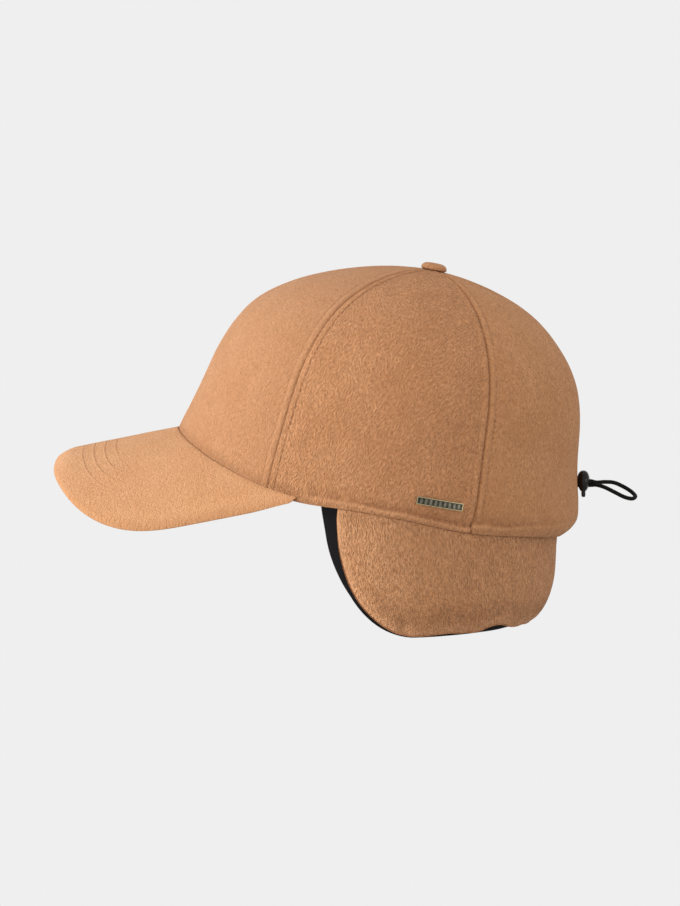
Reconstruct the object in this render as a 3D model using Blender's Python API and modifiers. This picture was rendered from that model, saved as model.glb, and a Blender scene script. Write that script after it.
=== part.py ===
"""A wool baseball cap with six crown panels, an arched peak and a fold-down ear and neck flap.

Metres, +Z up. The peak points along -Y and the wearer's left is +X. The origin is the centre of the
rim's opening, where a head holds the cap, and the rim slopes down towards the back.
"""

import math

import bmesh
import bpy
from mathutils import Matrix, Vector

# Fit between neighbouring pieces
GAP = 0.0003
SEAM_GAP = 0.0007  # between the outer faces of two panels, which lean together on the inside
LAYER_GAP = 0.0009  # between the flap and its lining, where both are curled

# Crown: how far the rim reaches from the origin, and the crown's height square to the rim
RIM_FRONT = 0.1109
RIM_BACK = 0.1043
RIM_SIDE = 0.0867
CROWN_HEIGHT = 0.1212
CROWN_TILT = math.radians(11.0)
APEX_BACK = 0.0059
CROWN_WALL = 0.002
CROWN_MOUTH = 0.0028  # radius of the hole that the top button covers
SEAM_ANGLES = (0.0, 60.0, 118.0, 180.0)  # degrees from the front, on each side
PANEL_NAMES = ("front", "side", "back")

# Hem of the crown: its height, the crease above it, and how far the back rolls inwards
HEM_HEIGHT = 0.006
HEM_CREASE = 0.0009
BACK_ROLL = 0.0065
BACK_ROLL_HEIGHT = 0.012
BACK_ROLL_CURVE = 2.0
BACK_ROLL_FADE = 1.5  # how fast the roll dies out towards the sides

# Peak
PEAK_REACH = 0.0557  # from the front of the rim to the tip
PEAK_TIP_HEIGHT = 0.0237
PEAK_SLOPE = 0.197
PEAK_INSET = 0.0047  # how much less than the side of the rim the peak reaches out
PEAK_HALF_WIDTH = RIM_SIDE - PEAK_INSET
PEAK_ROUND_LENGTH = 0.075
PEAK_ROUND_WEIGHT = 1.6  # length of the rounded front's edge over PEAK_ROUND_LENGTH
PEAK_SQUARENESS = 3.0
PEAK_ARCH_RADIUS = 0.102
PEAK_THICKNESS = 0.0036
PEAK_END_THICKNESS = 0.0012
PEAK_END_ANGLE = 69.0
PEAK_END_SHARPNESS = 6.0
PEAK_END_WIDTH = 0.0016

# Ear and neck flap: levels of its hem below the origin, and its front corner
FLAP_WALL = 0.002
FLAP_START_ANGLE = 80.3
FLAP_TUCK_IN = 0.0042
FLAP_EAR_ANGLE = 105.0  # where the hem leaves its level at the ear
FLAP_CURL_ANGLE = 100.0  # where the curl leaves its depth at the ear
FLAP_EAR_DROP = 0.0625
FLAP_BACK_DROP = 0.0635
FLAP_CORNER_WIDTH = 0.038
FLAP_CORNER_HEIGHT = 0.050
FLAP_EAR_CURL = 0.003
FLAP_BACK_CURL = 0.012
FLAP_CURL_POWER = 4
FLAP_CROWDING = 1.25  # above 1, the flap's columns are closer together at the back
LINING_WALL = 0.001
LINING_MARGIN = 0.0088  # how far the lining shows ahead of the wool's front edge
LINING_LEAST = 0.1  # share of the margin that is left at the hem
LINING_DROP = 0.0012

# Top button
BUTTON_DIAMETER = 0.0134
BUTTON_HEIGHT = 0.0029
BUTTON_UNDERSIDE = 0.0012
BUTTON_ROUNDNESS = 0.8

# Badge on the side of the crown
BADGE_LENGTH = 0.024
BADGE_WIDTH = 0.0038
BADGE_THICKNESS = 0.0010
BADGE_RECESS = 0.0004
BADGE_FRAME = 0.0006
BADGE_RIBS = 9
BADGE_RIB_SLOPE = 0.15  # half the run of a rib's side, as a share of the rib's width
BADGE_FRAME_SLOPE = 0.25  # run of the frame's inner side, as a share of the frame's width
BADGE_ANGLE = 107.3
BADGE_HEIGHT = 0.0109

# Drawcord and its lock at the back of the crown
CORD_DIAMETER = 0.0019
CORD_LEVEL = 0.0073
STRAND_SPACING = 0.0021
LOCK_WIDTH = 0.0094
LOCK_DEPTH = 0.0064
LOCK_TOP = 0.0139
LOCK_BOTTOM = 0.0027
LOCK_ROUNDING = 0.0026
LOCK_ROOF = 0.0013
PLUNGER_WIDTH = 0.006
PLUNGER_THICKNESS = 0.0021
PLUNGER_TIP = 0.0001
PLUNGER_TRAVEL = 0.0018
PLUNGER_ROOF = 0.0008
PLUNGER_EDGE = 0.0004

# Crown shape from the rim (first row) to the apex: how far the front, side and back reach,
# as shares of the rim's reach, and how high each is, as shares of the crown's height
CROWN_PROFILE = (
    # front reach, front height, side reach, side height, back reach, back height
    (1.000, 0.000, 1.000, 0.000, 1.000, 0.000),
    (0.975, 0.126, 1.000, 0.120, 0.990, 0.100),
    (0.937, 0.260, 0.985, 0.260, 0.943, 0.250),
    (0.895, 0.429, 0.957, 0.420, 0.923, 0.420),
    (0.859, 0.544, 0.918, 0.545, 0.893, 0.545),
    (0.800, 0.670, 0.850, 0.660, 0.830, 0.665),
    (0.720, 0.765, 0.755, 0.765, 0.735, 0.764),
    (0.592, 0.849, 0.630, 0.850, 0.610, 0.856),
    (0.441, 0.914, 0.475, 0.920, 0.465, 0.920),
    (0.281, 0.959, 0.310, 0.967, 0.300, 0.963),
    (0.130, 0.989, 0.145, 0.993, 0.135, 0.990),
    (0.000, 1.000, 0.000, 1.000, 0.000, 1.000),
)

# Rows of the hem: height as a share of HEM_HEIGHT, and depth as a share of HEM_CREASE
HEM_ROWS = (
    (0.00, 0.0),
    (0.35, 0.0),
    (0.80, 0.0),
    (1.00, 1.0),
    (1.25, 0.1),
    (2.00, 0.0),
)

TOP_ROW = len(CROWN_PROFILE) - 1
MIDDLE_ROW = 5  # searches for a row of the lower crown end here
NORMAL_STEP = 0.05  # in rows
SEARCH_STEPS = 24

# Mesh density
PANEL_COLUMNS = 9
PANEL_ROWS = 11
PEAK_COLUMNS = 28
PEAK_ROWS = 6
FLAP_COLUMNS = 38
FLAP_ROWS = 12
FLAP_TUCK_ROWS = 3
BUTTON_SIDES = 20
BUTTON_ROWS = 9
CORD_SAMPLES = 8
CORD_POINT_STEP = 0.0032
SHARP_ANGLE = math.radians(50)


def clear_scene():
    for item in list(bpy.data.objects):
        bpy.data.objects.remove(item, do_unlink=True)


def make_collection(name):
    collection = bpy.data.collections.new(name)
    bpy.context.scene.collection.children.link(collection)
    return collection


def make_material(name, color, roughness, metallic=0.0):
    material = bpy.data.materials.new(name)
    material.use_nodes = True
    shader = material.node_tree.nodes["Principled BSDF"]
    shader.inputs["Base Color"].default_value = (*color, 1.0)
    shader.inputs["Roughness"].default_value = roughness
    shader.inputs["Metallic"].default_value = metallic
    return material


def add_object(name, mesh, collection, material=None):
    item = bpy.data.objects.new(name, mesh)
    collection.objects.link(item)
    if material:
        mesh.materials.append(material)
    return item


def grid_mesh(name, points, turned_over=False):
    """An open surface through rows of points, with its faces turned over if asked."""
    mesh = bmesh.new()
    rows = [[mesh.verts.new(point) for point in row] for row in points]
    for low, high in zip(rows, rows[1:]):
        for i in range(len(low) - 1):
            corners = [low[i], low[i + 1], high[i + 1], high[i]]
            mesh.faces.new(corners[::-1] if turned_over else corners)
    data = bpy.data.meshes.new(name)
    mesh.to_mesh(data)
    mesh.free()
    data.shade_smooth()
    data.set_sharp_from_angle(angle=SHARP_ANGLE)
    return data


def closed_loft(name, outer, inner):
    """A closed solid between two grids of points that have equal rows and columns."""
    mesh = bmesh.new()
    top = [[mesh.verts.new(point) for point in row] for row in outer]
    low = [[mesh.verts.new(point) for point in row] for row in inner]
    last_row, last_column = len(outer) - 1, len(outer[0]) - 1
    for r in range(last_row):
        for c in range(last_column):
            mesh.faces.new((top[r][c], top[r][c + 1], top[r + 1][c + 1], top[r + 1][c]))
            mesh.faces.new((low[r][c], low[r + 1][c], low[r + 1][c + 1], low[r][c + 1]))
    for c in range(last_column):
        for r in (0, last_row):
            mesh.faces.new((top[r][c], low[r][c], low[r][c + 1], top[r][c + 1]))
    for r in range(last_row):
        for c in (0, last_column):
            mesh.faces.new((top[r][c], top[r + 1][c], low[r + 1][c], low[r][c]))
    bmesh.ops.recalc_face_normals(mesh, faces=mesh.faces)
    data = bpy.data.meshes.new(name)
    mesh.to_mesh(data)
    mesh.free()
    data.shade_smooth()
    data.set_sharp_from_angle(angle=SHARP_ANGLE)
    return data


def thicken(item, thickness, offset):
    solid = item.modifiers.new("Wall", "SOLIDIFY")
    solid.thickness = thickness
    solid.offset = offset
    solid.use_even_offset = True
    return solid


def cut(item, cutter):
    hole = item.modifiers.new("Cut " + cutter.name, "BOOLEAN")
    hole.operation = "DIFFERENCE"
    hole.object = cutter


def box_cutter(name, low, high, collection):
    """A box between two corners, used only to cut other pieces."""
    middle = (Vector(low) + Vector(high)) / 2
    size = Vector(high) - Vector(low)
    mesh = bmesh.new()
    bmesh.ops.create_cube(mesh, size=1.0, matrix=Matrix.Diagonal((*size, 1.0)))
    data = bpy.data.meshes.new(name)
    mesh.to_mesh(data)
    mesh.free()
    cutter = add_object(name, data, collection)
    cutter.location = middle
    cutter.hide_render = True
    cutter.display_type = "WIRE"
    return cutter


def smooth_share(value):
    """0 below 0, 1 above 1, and an even slope between."""
    value = min(1.0, max(0.0, value))
    return value * value * (3 - 2 * value)


def smooth_through(rows, place):
    """The row at a fractional place, on a smooth curve through all the rows."""
    index = min(int(place), len(rows) - 2)
    share = place - index
    before = rows[max(index - 1, 0)]
    start, end = rows[index], rows[index + 1]
    after = rows[min(index + 2, len(rows) - 1)]
    return [
        0.5
        * (
            2 * b
            + (c - a) * share
            + (2 * a - 5 * b + 4 * c - d) * share**2
            + (3 * b - a - 3 * c + d) * share**3
        )
        for a, b, c, d in zip(before, start, end, after)
    ]


def tilted(side, along, up):
    """A point of the crown's own frame, whose base is the rim's plane, in the cap's frame."""
    turn = Matrix.Rotation(-CROWN_TILT, 3, "X")
    return turn @ Vector((side, along, up))


def crown_surface(angle, row):
    """A point of the crown's outer face: angle in degrees from the front, row in CROWN_PROFILE."""
    turn = math.radians(angle)
    shape = smooth_through(CROWN_PROFILE, row)
    end = 0 if math.cos(turn) > 0 else 4
    ahead = math.cos(turn) ** 2
    reach = shape[end] * ahead + shape[2] * (1 - ahead)
    height = shape[end + 1] * ahead + shape[3] * (1 - ahead)
    middle = (RIM_BACK - RIM_FRONT) / 2
    half_length = (RIM_BACK + RIM_FRONT) / 2
    along = APEX_BACK + reach * (middle - half_length * math.cos(turn) - APEX_BACK)
    return tilted(reach * RIM_SIDE * math.sin(turn), along, height * CROWN_HEIGHT)


def crown_normal(angle, row):
    low = max(row - NORMAL_STEP, 0.0)
    high = min(row + NORMAL_STEP, TOP_ROW - 4 * NORMAL_STEP)
    around = crown_surface(angle + 1, row) - crown_surface(angle - 1, row)
    upward = crown_surface(angle, high) - crown_surface(angle, low)
    return around.cross(upward).normalized()


def row_where(angle, test):
    """The lowest row of the crown, up to its middle, that passes the test."""
    low, high = 0.0, float(MIDDLE_ROW)
    if test(crown_surface(angle, low)):
        return low
    for _ in range(SEARCH_STEPS):
        middle = (low + high) / 2
        if test(crown_surface(angle, middle)):
            high = middle
        else:
            low = middle
    return high


def row_at_height(angle, height):
    """The row at that height above the rim's plane."""
    level = tilted(0, 0, 1)
    return row_where(angle, lambda point: point.dot(level) >= height)


def rim_height(angle):
    """How high the crown's lower edge is above the rim's plane: only the peak lifts it."""
    if abs(angle) >= PEAK_END_ANGLE:
        return 0.0
    root = crown_surface(angle, peak_row(angle))
    return max(0.0, root.dot(tilted(0, 0, 1)) - peak_thickness(angle / PEAK_END_ANGLE))


def roll_inward(angle, height):
    """How far the hem at the back is rolled in, at a height above the edge."""
    back = max(0.0, -math.cos(math.radians(angle))) ** BACK_ROLL_FADE
    share = max(0.0, 1 - height / BACK_ROLL_HEIGHT)
    return BACK_ROLL * back * share**BACK_ROLL_CURVE


def roll_stretch(angle, height):
    """How much longer a wall is across the rolled hem than it is square to it."""
    step = BACK_ROLL_HEIGHT / 100
    slope = (roll_inward(angle, height) - roll_inward(angle, height + step)) / step
    return math.sqrt(1 + slope**2)


def crown_face(angle, height, inset=0.0):
    """A point of the crown's face near its edge, by its height above that edge."""
    row = row_at_height(angle, rim_height(angle) + height)
    normal = crown_normal(angle, row)
    return crown_surface(angle, row) - normal * (inset + roll_inward(angle, height))


def peak_top(x, y):
    """Height of the peak's upper face: a slope to the front, arched from side to side."""
    behind_tip = y + RIM_FRONT + PEAK_REACH
    arch = PEAK_ARCH_RADIUS - math.sqrt(PEAK_ARCH_RADIUS**2 - x**2)
    return PEAK_TIP_HEIGHT + PEAK_SLOPE * behind_tip - arch


def peak_row(angle):
    """The row of the crown where the peak's upper face meets it."""
    return row_where(angle, lambda point: point.z >= peak_top(point.x, point.y))


def peak_thickness(across):
    """The peak's thickness, which thins towards its two ends; across runs from -1 to 1."""
    middle = 1 - abs(across) ** PEAK_END_SHARPNESS
    return PEAK_END_THICKNESS + (PEAK_THICKNESS - PEAK_END_THICKNESS) * middle


def peak_edge(across):
    """A plan point of the peak's outer edge; across runs from -1 to 1."""
    end = crown_surface(PEAK_END_ANGLE, 0.0)
    end_x, end_y = end.x + PEAK_END_WIDTH, end.y
    tip_y = -RIM_FRONT - PEAK_REACH
    side_length = end_y - tip_y - PEAK_ROUND_LENGTH
    round_share = 1 - side_length / (side_length + PEAK_ROUND_WEIGHT * PEAK_ROUND_LENGTH)
    side = math.copysign(1, across)
    if abs(across) <= round_share:
        turn = math.pi / 2 * abs(across) / round_share
        power = 2 / PEAK_SQUARENESS
        x = PEAK_HALF_WIDTH * math.sin(turn) ** power
        y = tip_y + PEAK_ROUND_LENGTH * (1 - max(0.0, math.cos(turn)) ** power)
        return side * x, y
    share = (abs(across) - round_share) / (1 - round_share)
    x = PEAK_HALF_WIDTH + (end_x - PEAK_HALF_WIDTH) * share
    return side * x, tip_y + PEAK_ROUND_LENGTH + side_length * share


def flap_hem_level(angle):
    """How far below the origin the flap's hem hangs."""
    share = smooth_share((abs(angle) - FLAP_EAR_ANGLE) / (180 - FLAP_EAR_ANGLE))
    return FLAP_EAR_DROP + (FLAP_BACK_DROP - FLAP_EAR_DROP) * share


def flap_face(angle, depth, inset=0.0):
    """A point of the flap's outer face, at a depth below the rim; above it, inside the crown."""
    wall = CROWN_WALL + GAP
    if depth <= 0:
        return crown_face(angle, -depth, (wall + inset) * roll_stretch(angle, -depth))
    stretch = roll_stretch(angle, 0.0)
    top = crown_face(angle, 0.0, wall * stretch)
    inset *= 1 + (stretch - 1) * max(0.0, 1 - depth / HEM_HEIGHT)
    outward = crown_normal(angle, 0.0)
    outward.z = 0
    outward.normalize()
    back = smooth_share((abs(angle) - FLAP_CURL_ANGLE) / (180 - FLAP_CURL_ANGLE))
    curl = FLAP_EAR_CURL + (FLAP_BACK_CURL - FLAP_EAR_CURL) * back
    length = top.z + flap_hem_level(angle)
    share = depth / length
    slope = FLAP_CURL_POWER * curl * share ** (FLAP_CURL_POWER - 1) / length
    normal = Vector((outward.x, outward.y, -slope)).normalized()
    point = top - outward * curl * share**FLAP_CURL_POWER
    point.z -= depth
    return point - normal * inset


def flap_rows(margin, drop, inset):
    """Rows of points from the front of the flap on one side, round the back, to the other side."""
    around = (RIM_FRONT + RIM_BACK + 2 * RIM_SIDE) / 4
    start = FLAP_START_ANGLE
    rows = []
    for r in range(FLAP_ROWS + 1):
        row = []
        for c in range(FLAP_COLUMNS + 1):
            share = 2 * c / FLAP_COLUMNS - 1
            spread = abs(share) ** FLAP_CROWDING
            angle = 180 - (180 - start) * spread
            from_front = math.radians(angle - start) * around
            corner = max(0.0, 1 - from_front / FLAP_CORNER_WIDTH)
            rise = FLAP_CORNER_HEIGHT * (1 - math.sqrt(1 - corner**2))
            top = crown_face(angle, 0.0, CROWN_WALL + GAP).z
            bottom = top + flap_hem_level(angle) - rise + drop
            if r < FLAP_TUCK_ROWS:
                depth = -FLAP_TUCK_IN * (1 - r / FLAP_TUCK_ROWS)
            else:
                depth = bottom * (r - FLAP_TUCK_ROWS) / (FLAP_ROWS - FLAP_TUCK_ROWS)
            reach = max(LINING_LEAST, 1 - max(0.0, depth) / FLAP_CORNER_HEIGHT)
            ahead = math.degrees(margin * reach * min(1.0, corner) / around)
            turned = angle - ahead
            row.append(flap_face(turned if share < 0 else 360 - turned, depth, inset))
        rows.append(row)
    return rows


def panel_rows(start, end):
    """Rows of points of one crown panel between two seam angles, from its hem to the button."""
    mouth = CROWN_MOUTH / RIM_SIDE / CROWN_PROFILE[-2][2]
    rows = []
    count = len(HEM_ROWS) + PANEL_ROWS
    for r in range(count):
        row = []
        for c in range(PANEL_COLUMNS + 1):
            angle = start + (end - start) * c / PANEL_COLUMNS
            if r < len(HEM_ROWS):
                height, crease = HEM_ROWS[r]
                place = row_at_height(angle, rim_height(angle) + height * HEM_HEIGHT)
                inset = crease * HEM_CREASE + roll_inward(angle, height * HEM_HEIGHT)
            else:
                height = HEM_ROWS[-1][0] * HEM_HEIGHT
                low = row_at_height(angle, rim_height(angle) + height)
                share = (r - len(HEM_ROWS) + 1) / PANEL_ROWS
                place = low + (TOP_ROW - mouth - low) * share
                inset = 0.0
            point = crown_surface(angle, place)
            centre = crown_surface(angle, TOP_ROW)
            radius = (point - centre).xy.length
            nudge = math.degrees(SEAM_GAP / 2 / radius)
            if c == 0:
                angle += nudge
            if c == PANEL_COLUMNS:
                angle -= nudge
            point = crown_surface(angle, place)
            row.append(point - crown_normal(angle, place) * inset)
        rows.append(row)
    return rows


def make_crown(collection, wool, cord_hole):
    for name, start, end in zip(PANEL_NAMES, SEAM_ANGLES, SEAM_ANGLES[1:]):
        for side, sign in (("left", 1), ("right", -1)):
            rows = panel_rows(start, end)
            if sign < 0:
                rows = [[Vector((-p.x, p.y, p.z)) for p in row] for row in rows]
            title = f"crown_panel_{name}_{side}"
            mesh = grid_mesh(title, rows, turned_over=sign < 0)
            panel = add_object(title, mesh, collection, wool)
            thicken(panel, CROWN_WALL, -1)
            if name == "back":
                cut(panel, cord_hole)


def make_peak(collection, wool):
    top, bottom = [], []
    for r in range(PEAK_ROWS + 1):
        share = r / PEAK_ROWS
        top_row, bottom_row = [], []
        for c in range(PEAK_COLUMNS + 1):
            across = 2 * c / PEAK_COLUMNS - 1
            angle = across * PEAK_END_ANGLE
            row = peak_row(angle)
            low_row = row_at_height(angle, rim_height(angle))
            edge_x, edge_y = peak_edge(across)
            for place, rows, drop in ((row, top_row, 0.0), (low_row, bottom_row, 1.0)):
                root = crown_surface(angle, place) + crown_normal(angle, place) * GAP
                x = root.x + (edge_x - root.x) * share
                y = root.y + (edge_y - root.y) * share
                rows.append(Vector((x, y, peak_top(x, y) - drop * peak_thickness(across))))
        top.append(top_row)
        bottom.append(bottom_row)
    add_object("peak", closed_loft("peak", top, bottom), collection, wool)


def make_flap(collection, wool, black_cloth):
    outer = flap_rows(0.0, 0.0, 0.0)
    mesh = grid_mesh("ear_neck_flap", outer, turned_over=True)
    flap = add_object("ear_neck_flap", mesh, collection, wool)
    thicken(flap, FLAP_WALL, -1)
    inner = flap_rows(LINING_MARGIN, LINING_DROP, FLAP_WALL + LAYER_GAP)
    mesh = grid_mesh("flap_lining", inner, turned_over=True)
    lining = add_object("flap_lining", mesh, collection, black_cloth)
    thicken(lining, LINING_WALL, -1)


def make_button(collection, wool):
    """A cloth-covered button: a dome over a shallower rounded underside."""
    radius = BUTTON_DIAMETER / 2
    profile = bmesh.new()
    last = None
    for i in range(BUTTON_ROWS + 1):
        turn = math.pi / 2 - math.pi * i / BUTTON_ROWS
        out = radius * max(0.0, math.cos(turn)) ** BUTTON_ROUNDNESS
        height = BUTTON_HEIGHT if turn > 0 else BUTTON_UNDERSIDE
        point = profile.verts.new((out, 0, BUTTON_UNDERSIDE + height * math.sin(turn)))
        if last:
            profile.edges.new((last, point))
        last = point
    mesh = bpy.data.meshes.new("top_button")
    profile.to_mesh(mesh)
    profile.free()
    button = add_object("top_button", mesh, collection, wool)
    button.location = tilted(0, APEX_BACK, CROWN_HEIGHT + GAP)
    button.rotation_euler = (-CROWN_TILT, 0, 0)
    turned = button.modifiers.new("Turn", "SCREW")
    turned.axis = "Z"
    turned.steps = BUTTON_SIDES
    turned.render_steps = BUTTON_SIDES
    turned.use_merge_vertices = True
    turned.merge_threshold = 0.0001
    turned.use_normal_calculate = True


def badge_stations():
    """Places along the badge and whether each is raised, for its frame and its even ribs."""
    field = BADGE_LENGTH - 2 * BADGE_FRAME
    pitch = field / (2 * BADGE_RIBS + 1)
    slope = BADGE_RIB_SLOPE * pitch
    half = BADGE_LENGTH / 2
    places = [(-half, True), (-half + BADGE_FRAME, True)]
    for rib in range(BADGE_RIBS):
        start = -half + BADGE_FRAME + pitch * (2 * rib + 1)
        places += [(start - slope, False), (start + slope, True)]
        places += [(start + pitch - slope, True), (start + pitch + slope, False)]
    places += [(half - BADGE_FRAME, True), (half, True)]
    first, last = places[1][0], places[-2][0]
    return places[:2] + [(first + slope, False)] + places[2:-2] + [(last - slope, False)] + places[-2:]


def make_badge(collection, metal):
    middle = crown_face(BADGE_ANGLE, BADGE_HEIGHT)
    ahead = crown_face(BADGE_ANGLE + 1, BADGE_HEIGHT)
    per_degree = (ahead - middle).length
    half = BADGE_WIDTH / 2
    ledge = half - BADGE_FRAME
    field = ledge - BADGE_FRAME_SLOPE * BADGE_FRAME
    levels = ((-half, True), (-ledge, True), (-field, False), (field, False), (ledge, True), (half, True))
    outer, inner = [], []
    for height, on_frame in levels:
        outer_row, inner_row = [], []
        for along, raised in badge_stations():
            angle = BADGE_ANGLE + along / per_degree
            high = raised or on_frame
            lift = BADGE_THICKNESS - (0.0 if high else BADGE_RECESS)
            outer_row.append(crown_face(angle, BADGE_HEIGHT + height, -GAP - lift))
            inner_row.append(crown_face(angle, BADGE_HEIGHT + height, -GAP))
        outer.append(outer_row)
        inner.append(inner_row)
    add_object("side_badge", closed_loft("side_badge", outer, inner), collection, metal)


def back_face(level):
    """Where the crown's outer face is at the back, at a height in the cap's frame."""
    row = row_where(180, lambda point: point.z >= level)
    return crown_surface(180, row).y


def cord_route():
    """The drawcord's points: out of the crown, through the lock, round a loop and back."""
    face = back_face(CORD_LEVEL)
    up, half = CORD_LEVEL, STRAND_SPACING / 2
    return (
        (0.0, face - 0.0045, up + half),
        (0.0, face + 0.0010, up + half),
        (0.0, face + 0.0062, up + half),
        (-0.0003, face + 0.0082, up + 0.8 * half),
        (-0.0012, face + 0.0108, up + 0.0002),
        (-0.0026, face + 0.0150, up + 0.0003),
        (-0.0039, face + 0.0200, up - 0.0002),
        (-0.0044, face + 0.0250, up - 0.0024),
        (-0.0034, face + 0.0289, up - 0.0048),
        (0.0000, face + 0.0308, up - 0.0069),
        (0.0034, face + 0.0288, up - 0.0078),
        (0.0043, face + 0.0247, up - 0.0068),
        (0.0038, face + 0.0200, up - 0.0045),
        (0.0025, face + 0.0150, up - 0.0021),
        (0.0011, face + 0.0108, up - 0.0009),
        (0.0003, face + 0.0082, up - 0.9 * half),
        (0.0, face + 0.0062, up - half),
        (0.0, face + 0.0010, up - half),
        (0.0, face - 0.0045, up - half),
    )


def make_cord(collection, elastic):
    route = cord_route()
    places = [i / CORD_SAMPLES for i in range(CORD_SAMPLES * (len(route) - 1) + 1)]
    fine = [Vector(smooth_through(route, place)) for place in places]
    kept = [fine[0]]
    for point in fine[1:-1]:
        far = (point - kept[-1]).length
        if far >= CORD_POINT_STEP and (point - fine[-1]).length > CORD_POINT_STEP / 2:
            kept.append(point)
    kept.append(fine[-1])
    curve = bpy.data.curves.new("drawcord", "CURVE")
    curve.dimensions = "3D"
    curve.bevel_depth = CORD_DIAMETER / 2
    curve.bevel_resolution = 2
    curve.use_fill_caps = True
    spline = curve.splines.new("POLY")
    spline.points.add(len(kept) - 1)
    for place, point in zip(spline.points, kept):
        place.co = (*point, 1)
    add_object("drawcord", curve, collection, elastic)


def make_cord_lock(collection, cutters, plastic):
    """A rounded barrel that the two strands pass through, and its sliding plunger."""
    face = back_face(CORD_LEVEL) + 2 * GAP
    middle_y = face + LOCK_DEPTH / 2
    middle_z = (LOCK_TOP + LOCK_BOTTOM) / 2
    strands = (STRAND_SPACING + CORD_DIAMETER) / 2 + GAP
    slot = CORD_DIAMETER / 2 + GAP
    well_top = LOCK_TOP - LOCK_ROOF
    plunger_top = well_top - PLUNGER_TRAVEL - GAP
    bpy.ops.mesh.primitive_cube_add(size=1.0, location=(0, middle_y, middle_z))
    body = bpy.context.active_object
    body.name = "cord_lock_body"
    size = (LOCK_WIDTH, LOCK_DEPTH, LOCK_TOP - LOCK_BOTTOM)
    body.data.transform(Matrix.Diagonal((*size, 1.0)))
    rounding = body.modifiers.new("Round", "BEVEL")
    rounding.width = LOCK_ROUNDING
    rounding.segments = 3
    through = box_cutter(
        "strand_hole",
        (-slot, middle_y - LOCK_DEPTH, CORD_LEVEL - strands),
        (slot, middle_y + LOCK_DEPTH, CORD_LEVEL + strands),
        cutters,
    )
    well = box_cutter(
        "plunger_well",
        (-PLUNGER_WIDTH / 2 - GAP, middle_y - PLUNGER_THICKNESS / 2 - GAP, -LOCK_TOP),
        (PLUNGER_WIDTH / 2 + GAP, middle_y + PLUNGER_THICKNESS / 2 + GAP, well_top),
        cutters,
    )
    cut(body, through)
    cut(body, well)
    height = plunger_top - PLUNGER_TIP
    bpy.ops.mesh.primitive_cube_add(size=1.0, location=(0, middle_y, PLUNGER_TIP))
    plunger = bpy.context.active_object
    plunger.name = "cord_lock_plunger"
    plunger.data.transform(Matrix.Translation((0, 0, 0.5)))
    plunger.data.transform(Matrix.Diagonal((PLUNGER_WIDTH, PLUNGER_THICKNESS, height, 1.0)))
    edge = plunger.modifiers.new("Round", "BEVEL")
    edge.width = PLUNGER_EDGE
    edge.segments = 2
    window = box_cutter(
        "plunger_window",
        (-slot, middle_y - LOCK_DEPTH, CORD_LEVEL - strands - PLUNGER_TRAVEL),
        (slot, middle_y + LOCK_DEPTH, plunger_top - PLUNGER_ROOF),
        cutters,
    )
    cut(plunger, window)
    for item in (body, plunger):
        for home in item.users_collection:
            home.objects.unlink(item)
        collection.objects.link(item)
        item.data.materials.append(plastic)
        item.data.shade_smooth()
        item.data.set_sharp_from_angle(angle=SHARP_ANGLE)


def make_cap():
    clear_scene()
    cap = make_collection("wool_cap")
    cutters = make_collection("cutters")
    wool = make_material("camel wool", (0.60, 0.34, 0.17), 0.95)
    black_cloth = make_material("black lining", (0.02, 0.017, 0.017), 0.85)
    plastic = make_material("black plastic", (0.015, 0.012, 0.010), 0.4)
    elastic = make_material("black elastic", (0.018, 0.016, 0.015), 0.75)
    metal = make_material("aged metal", (0.40, 0.36, 0.27), 0.4, 1.0)
    slot = CORD_DIAMETER / 2 + GAP
    strands = (STRAND_SPACING + CORD_DIAMETER) / 2 + GAP
    face = back_face(CORD_LEVEL)
    cord_hole = box_cutter(
        "cord_hole",
        (-slot, face - 4 * CROWN_WALL, CORD_LEVEL - strands),
        (slot, face + 2 * CROWN_WALL, CORD_LEVEL + strands),
        cutters,
    )
    make_crown(cap, wool, cord_hole)
    make_peak(cap, wool)
    make_flap(cap, wool, black_cloth)
    make_button(cap, wool)
    make_badge(cap, metal)
    make_cord(cap, elastic)
    make_cord_lock(cap, cutters, plastic)


make_cap()
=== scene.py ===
"""How the wool baseball cap looks: its cloth, seams, stitching, badge, cord and lighting.

Metres, +Z up. The peak points along -Y and the wearer's left is +X. Shapes follow the same named
sizes as the solids, with finer surfaces: each panel is a grid of angles round the crown and rows up it.
"""

import math

import bpy
import numpy as np
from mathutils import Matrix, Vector


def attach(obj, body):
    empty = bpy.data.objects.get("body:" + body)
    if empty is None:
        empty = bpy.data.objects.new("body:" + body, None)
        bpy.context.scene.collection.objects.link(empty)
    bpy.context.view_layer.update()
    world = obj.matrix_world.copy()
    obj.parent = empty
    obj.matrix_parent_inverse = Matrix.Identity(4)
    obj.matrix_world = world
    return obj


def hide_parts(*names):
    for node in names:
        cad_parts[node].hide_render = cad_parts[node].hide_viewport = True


# Photo's camera
CAMERA_TARGET = (0.0, -0.0194, 0.02293)
CAMERA_ELEVATION = math.radians(5.28)
CAMERA_DISTANCE = 2.0
CAMERA_LENS = 153.4
SENSOR_HEIGHT = 36.0

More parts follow.
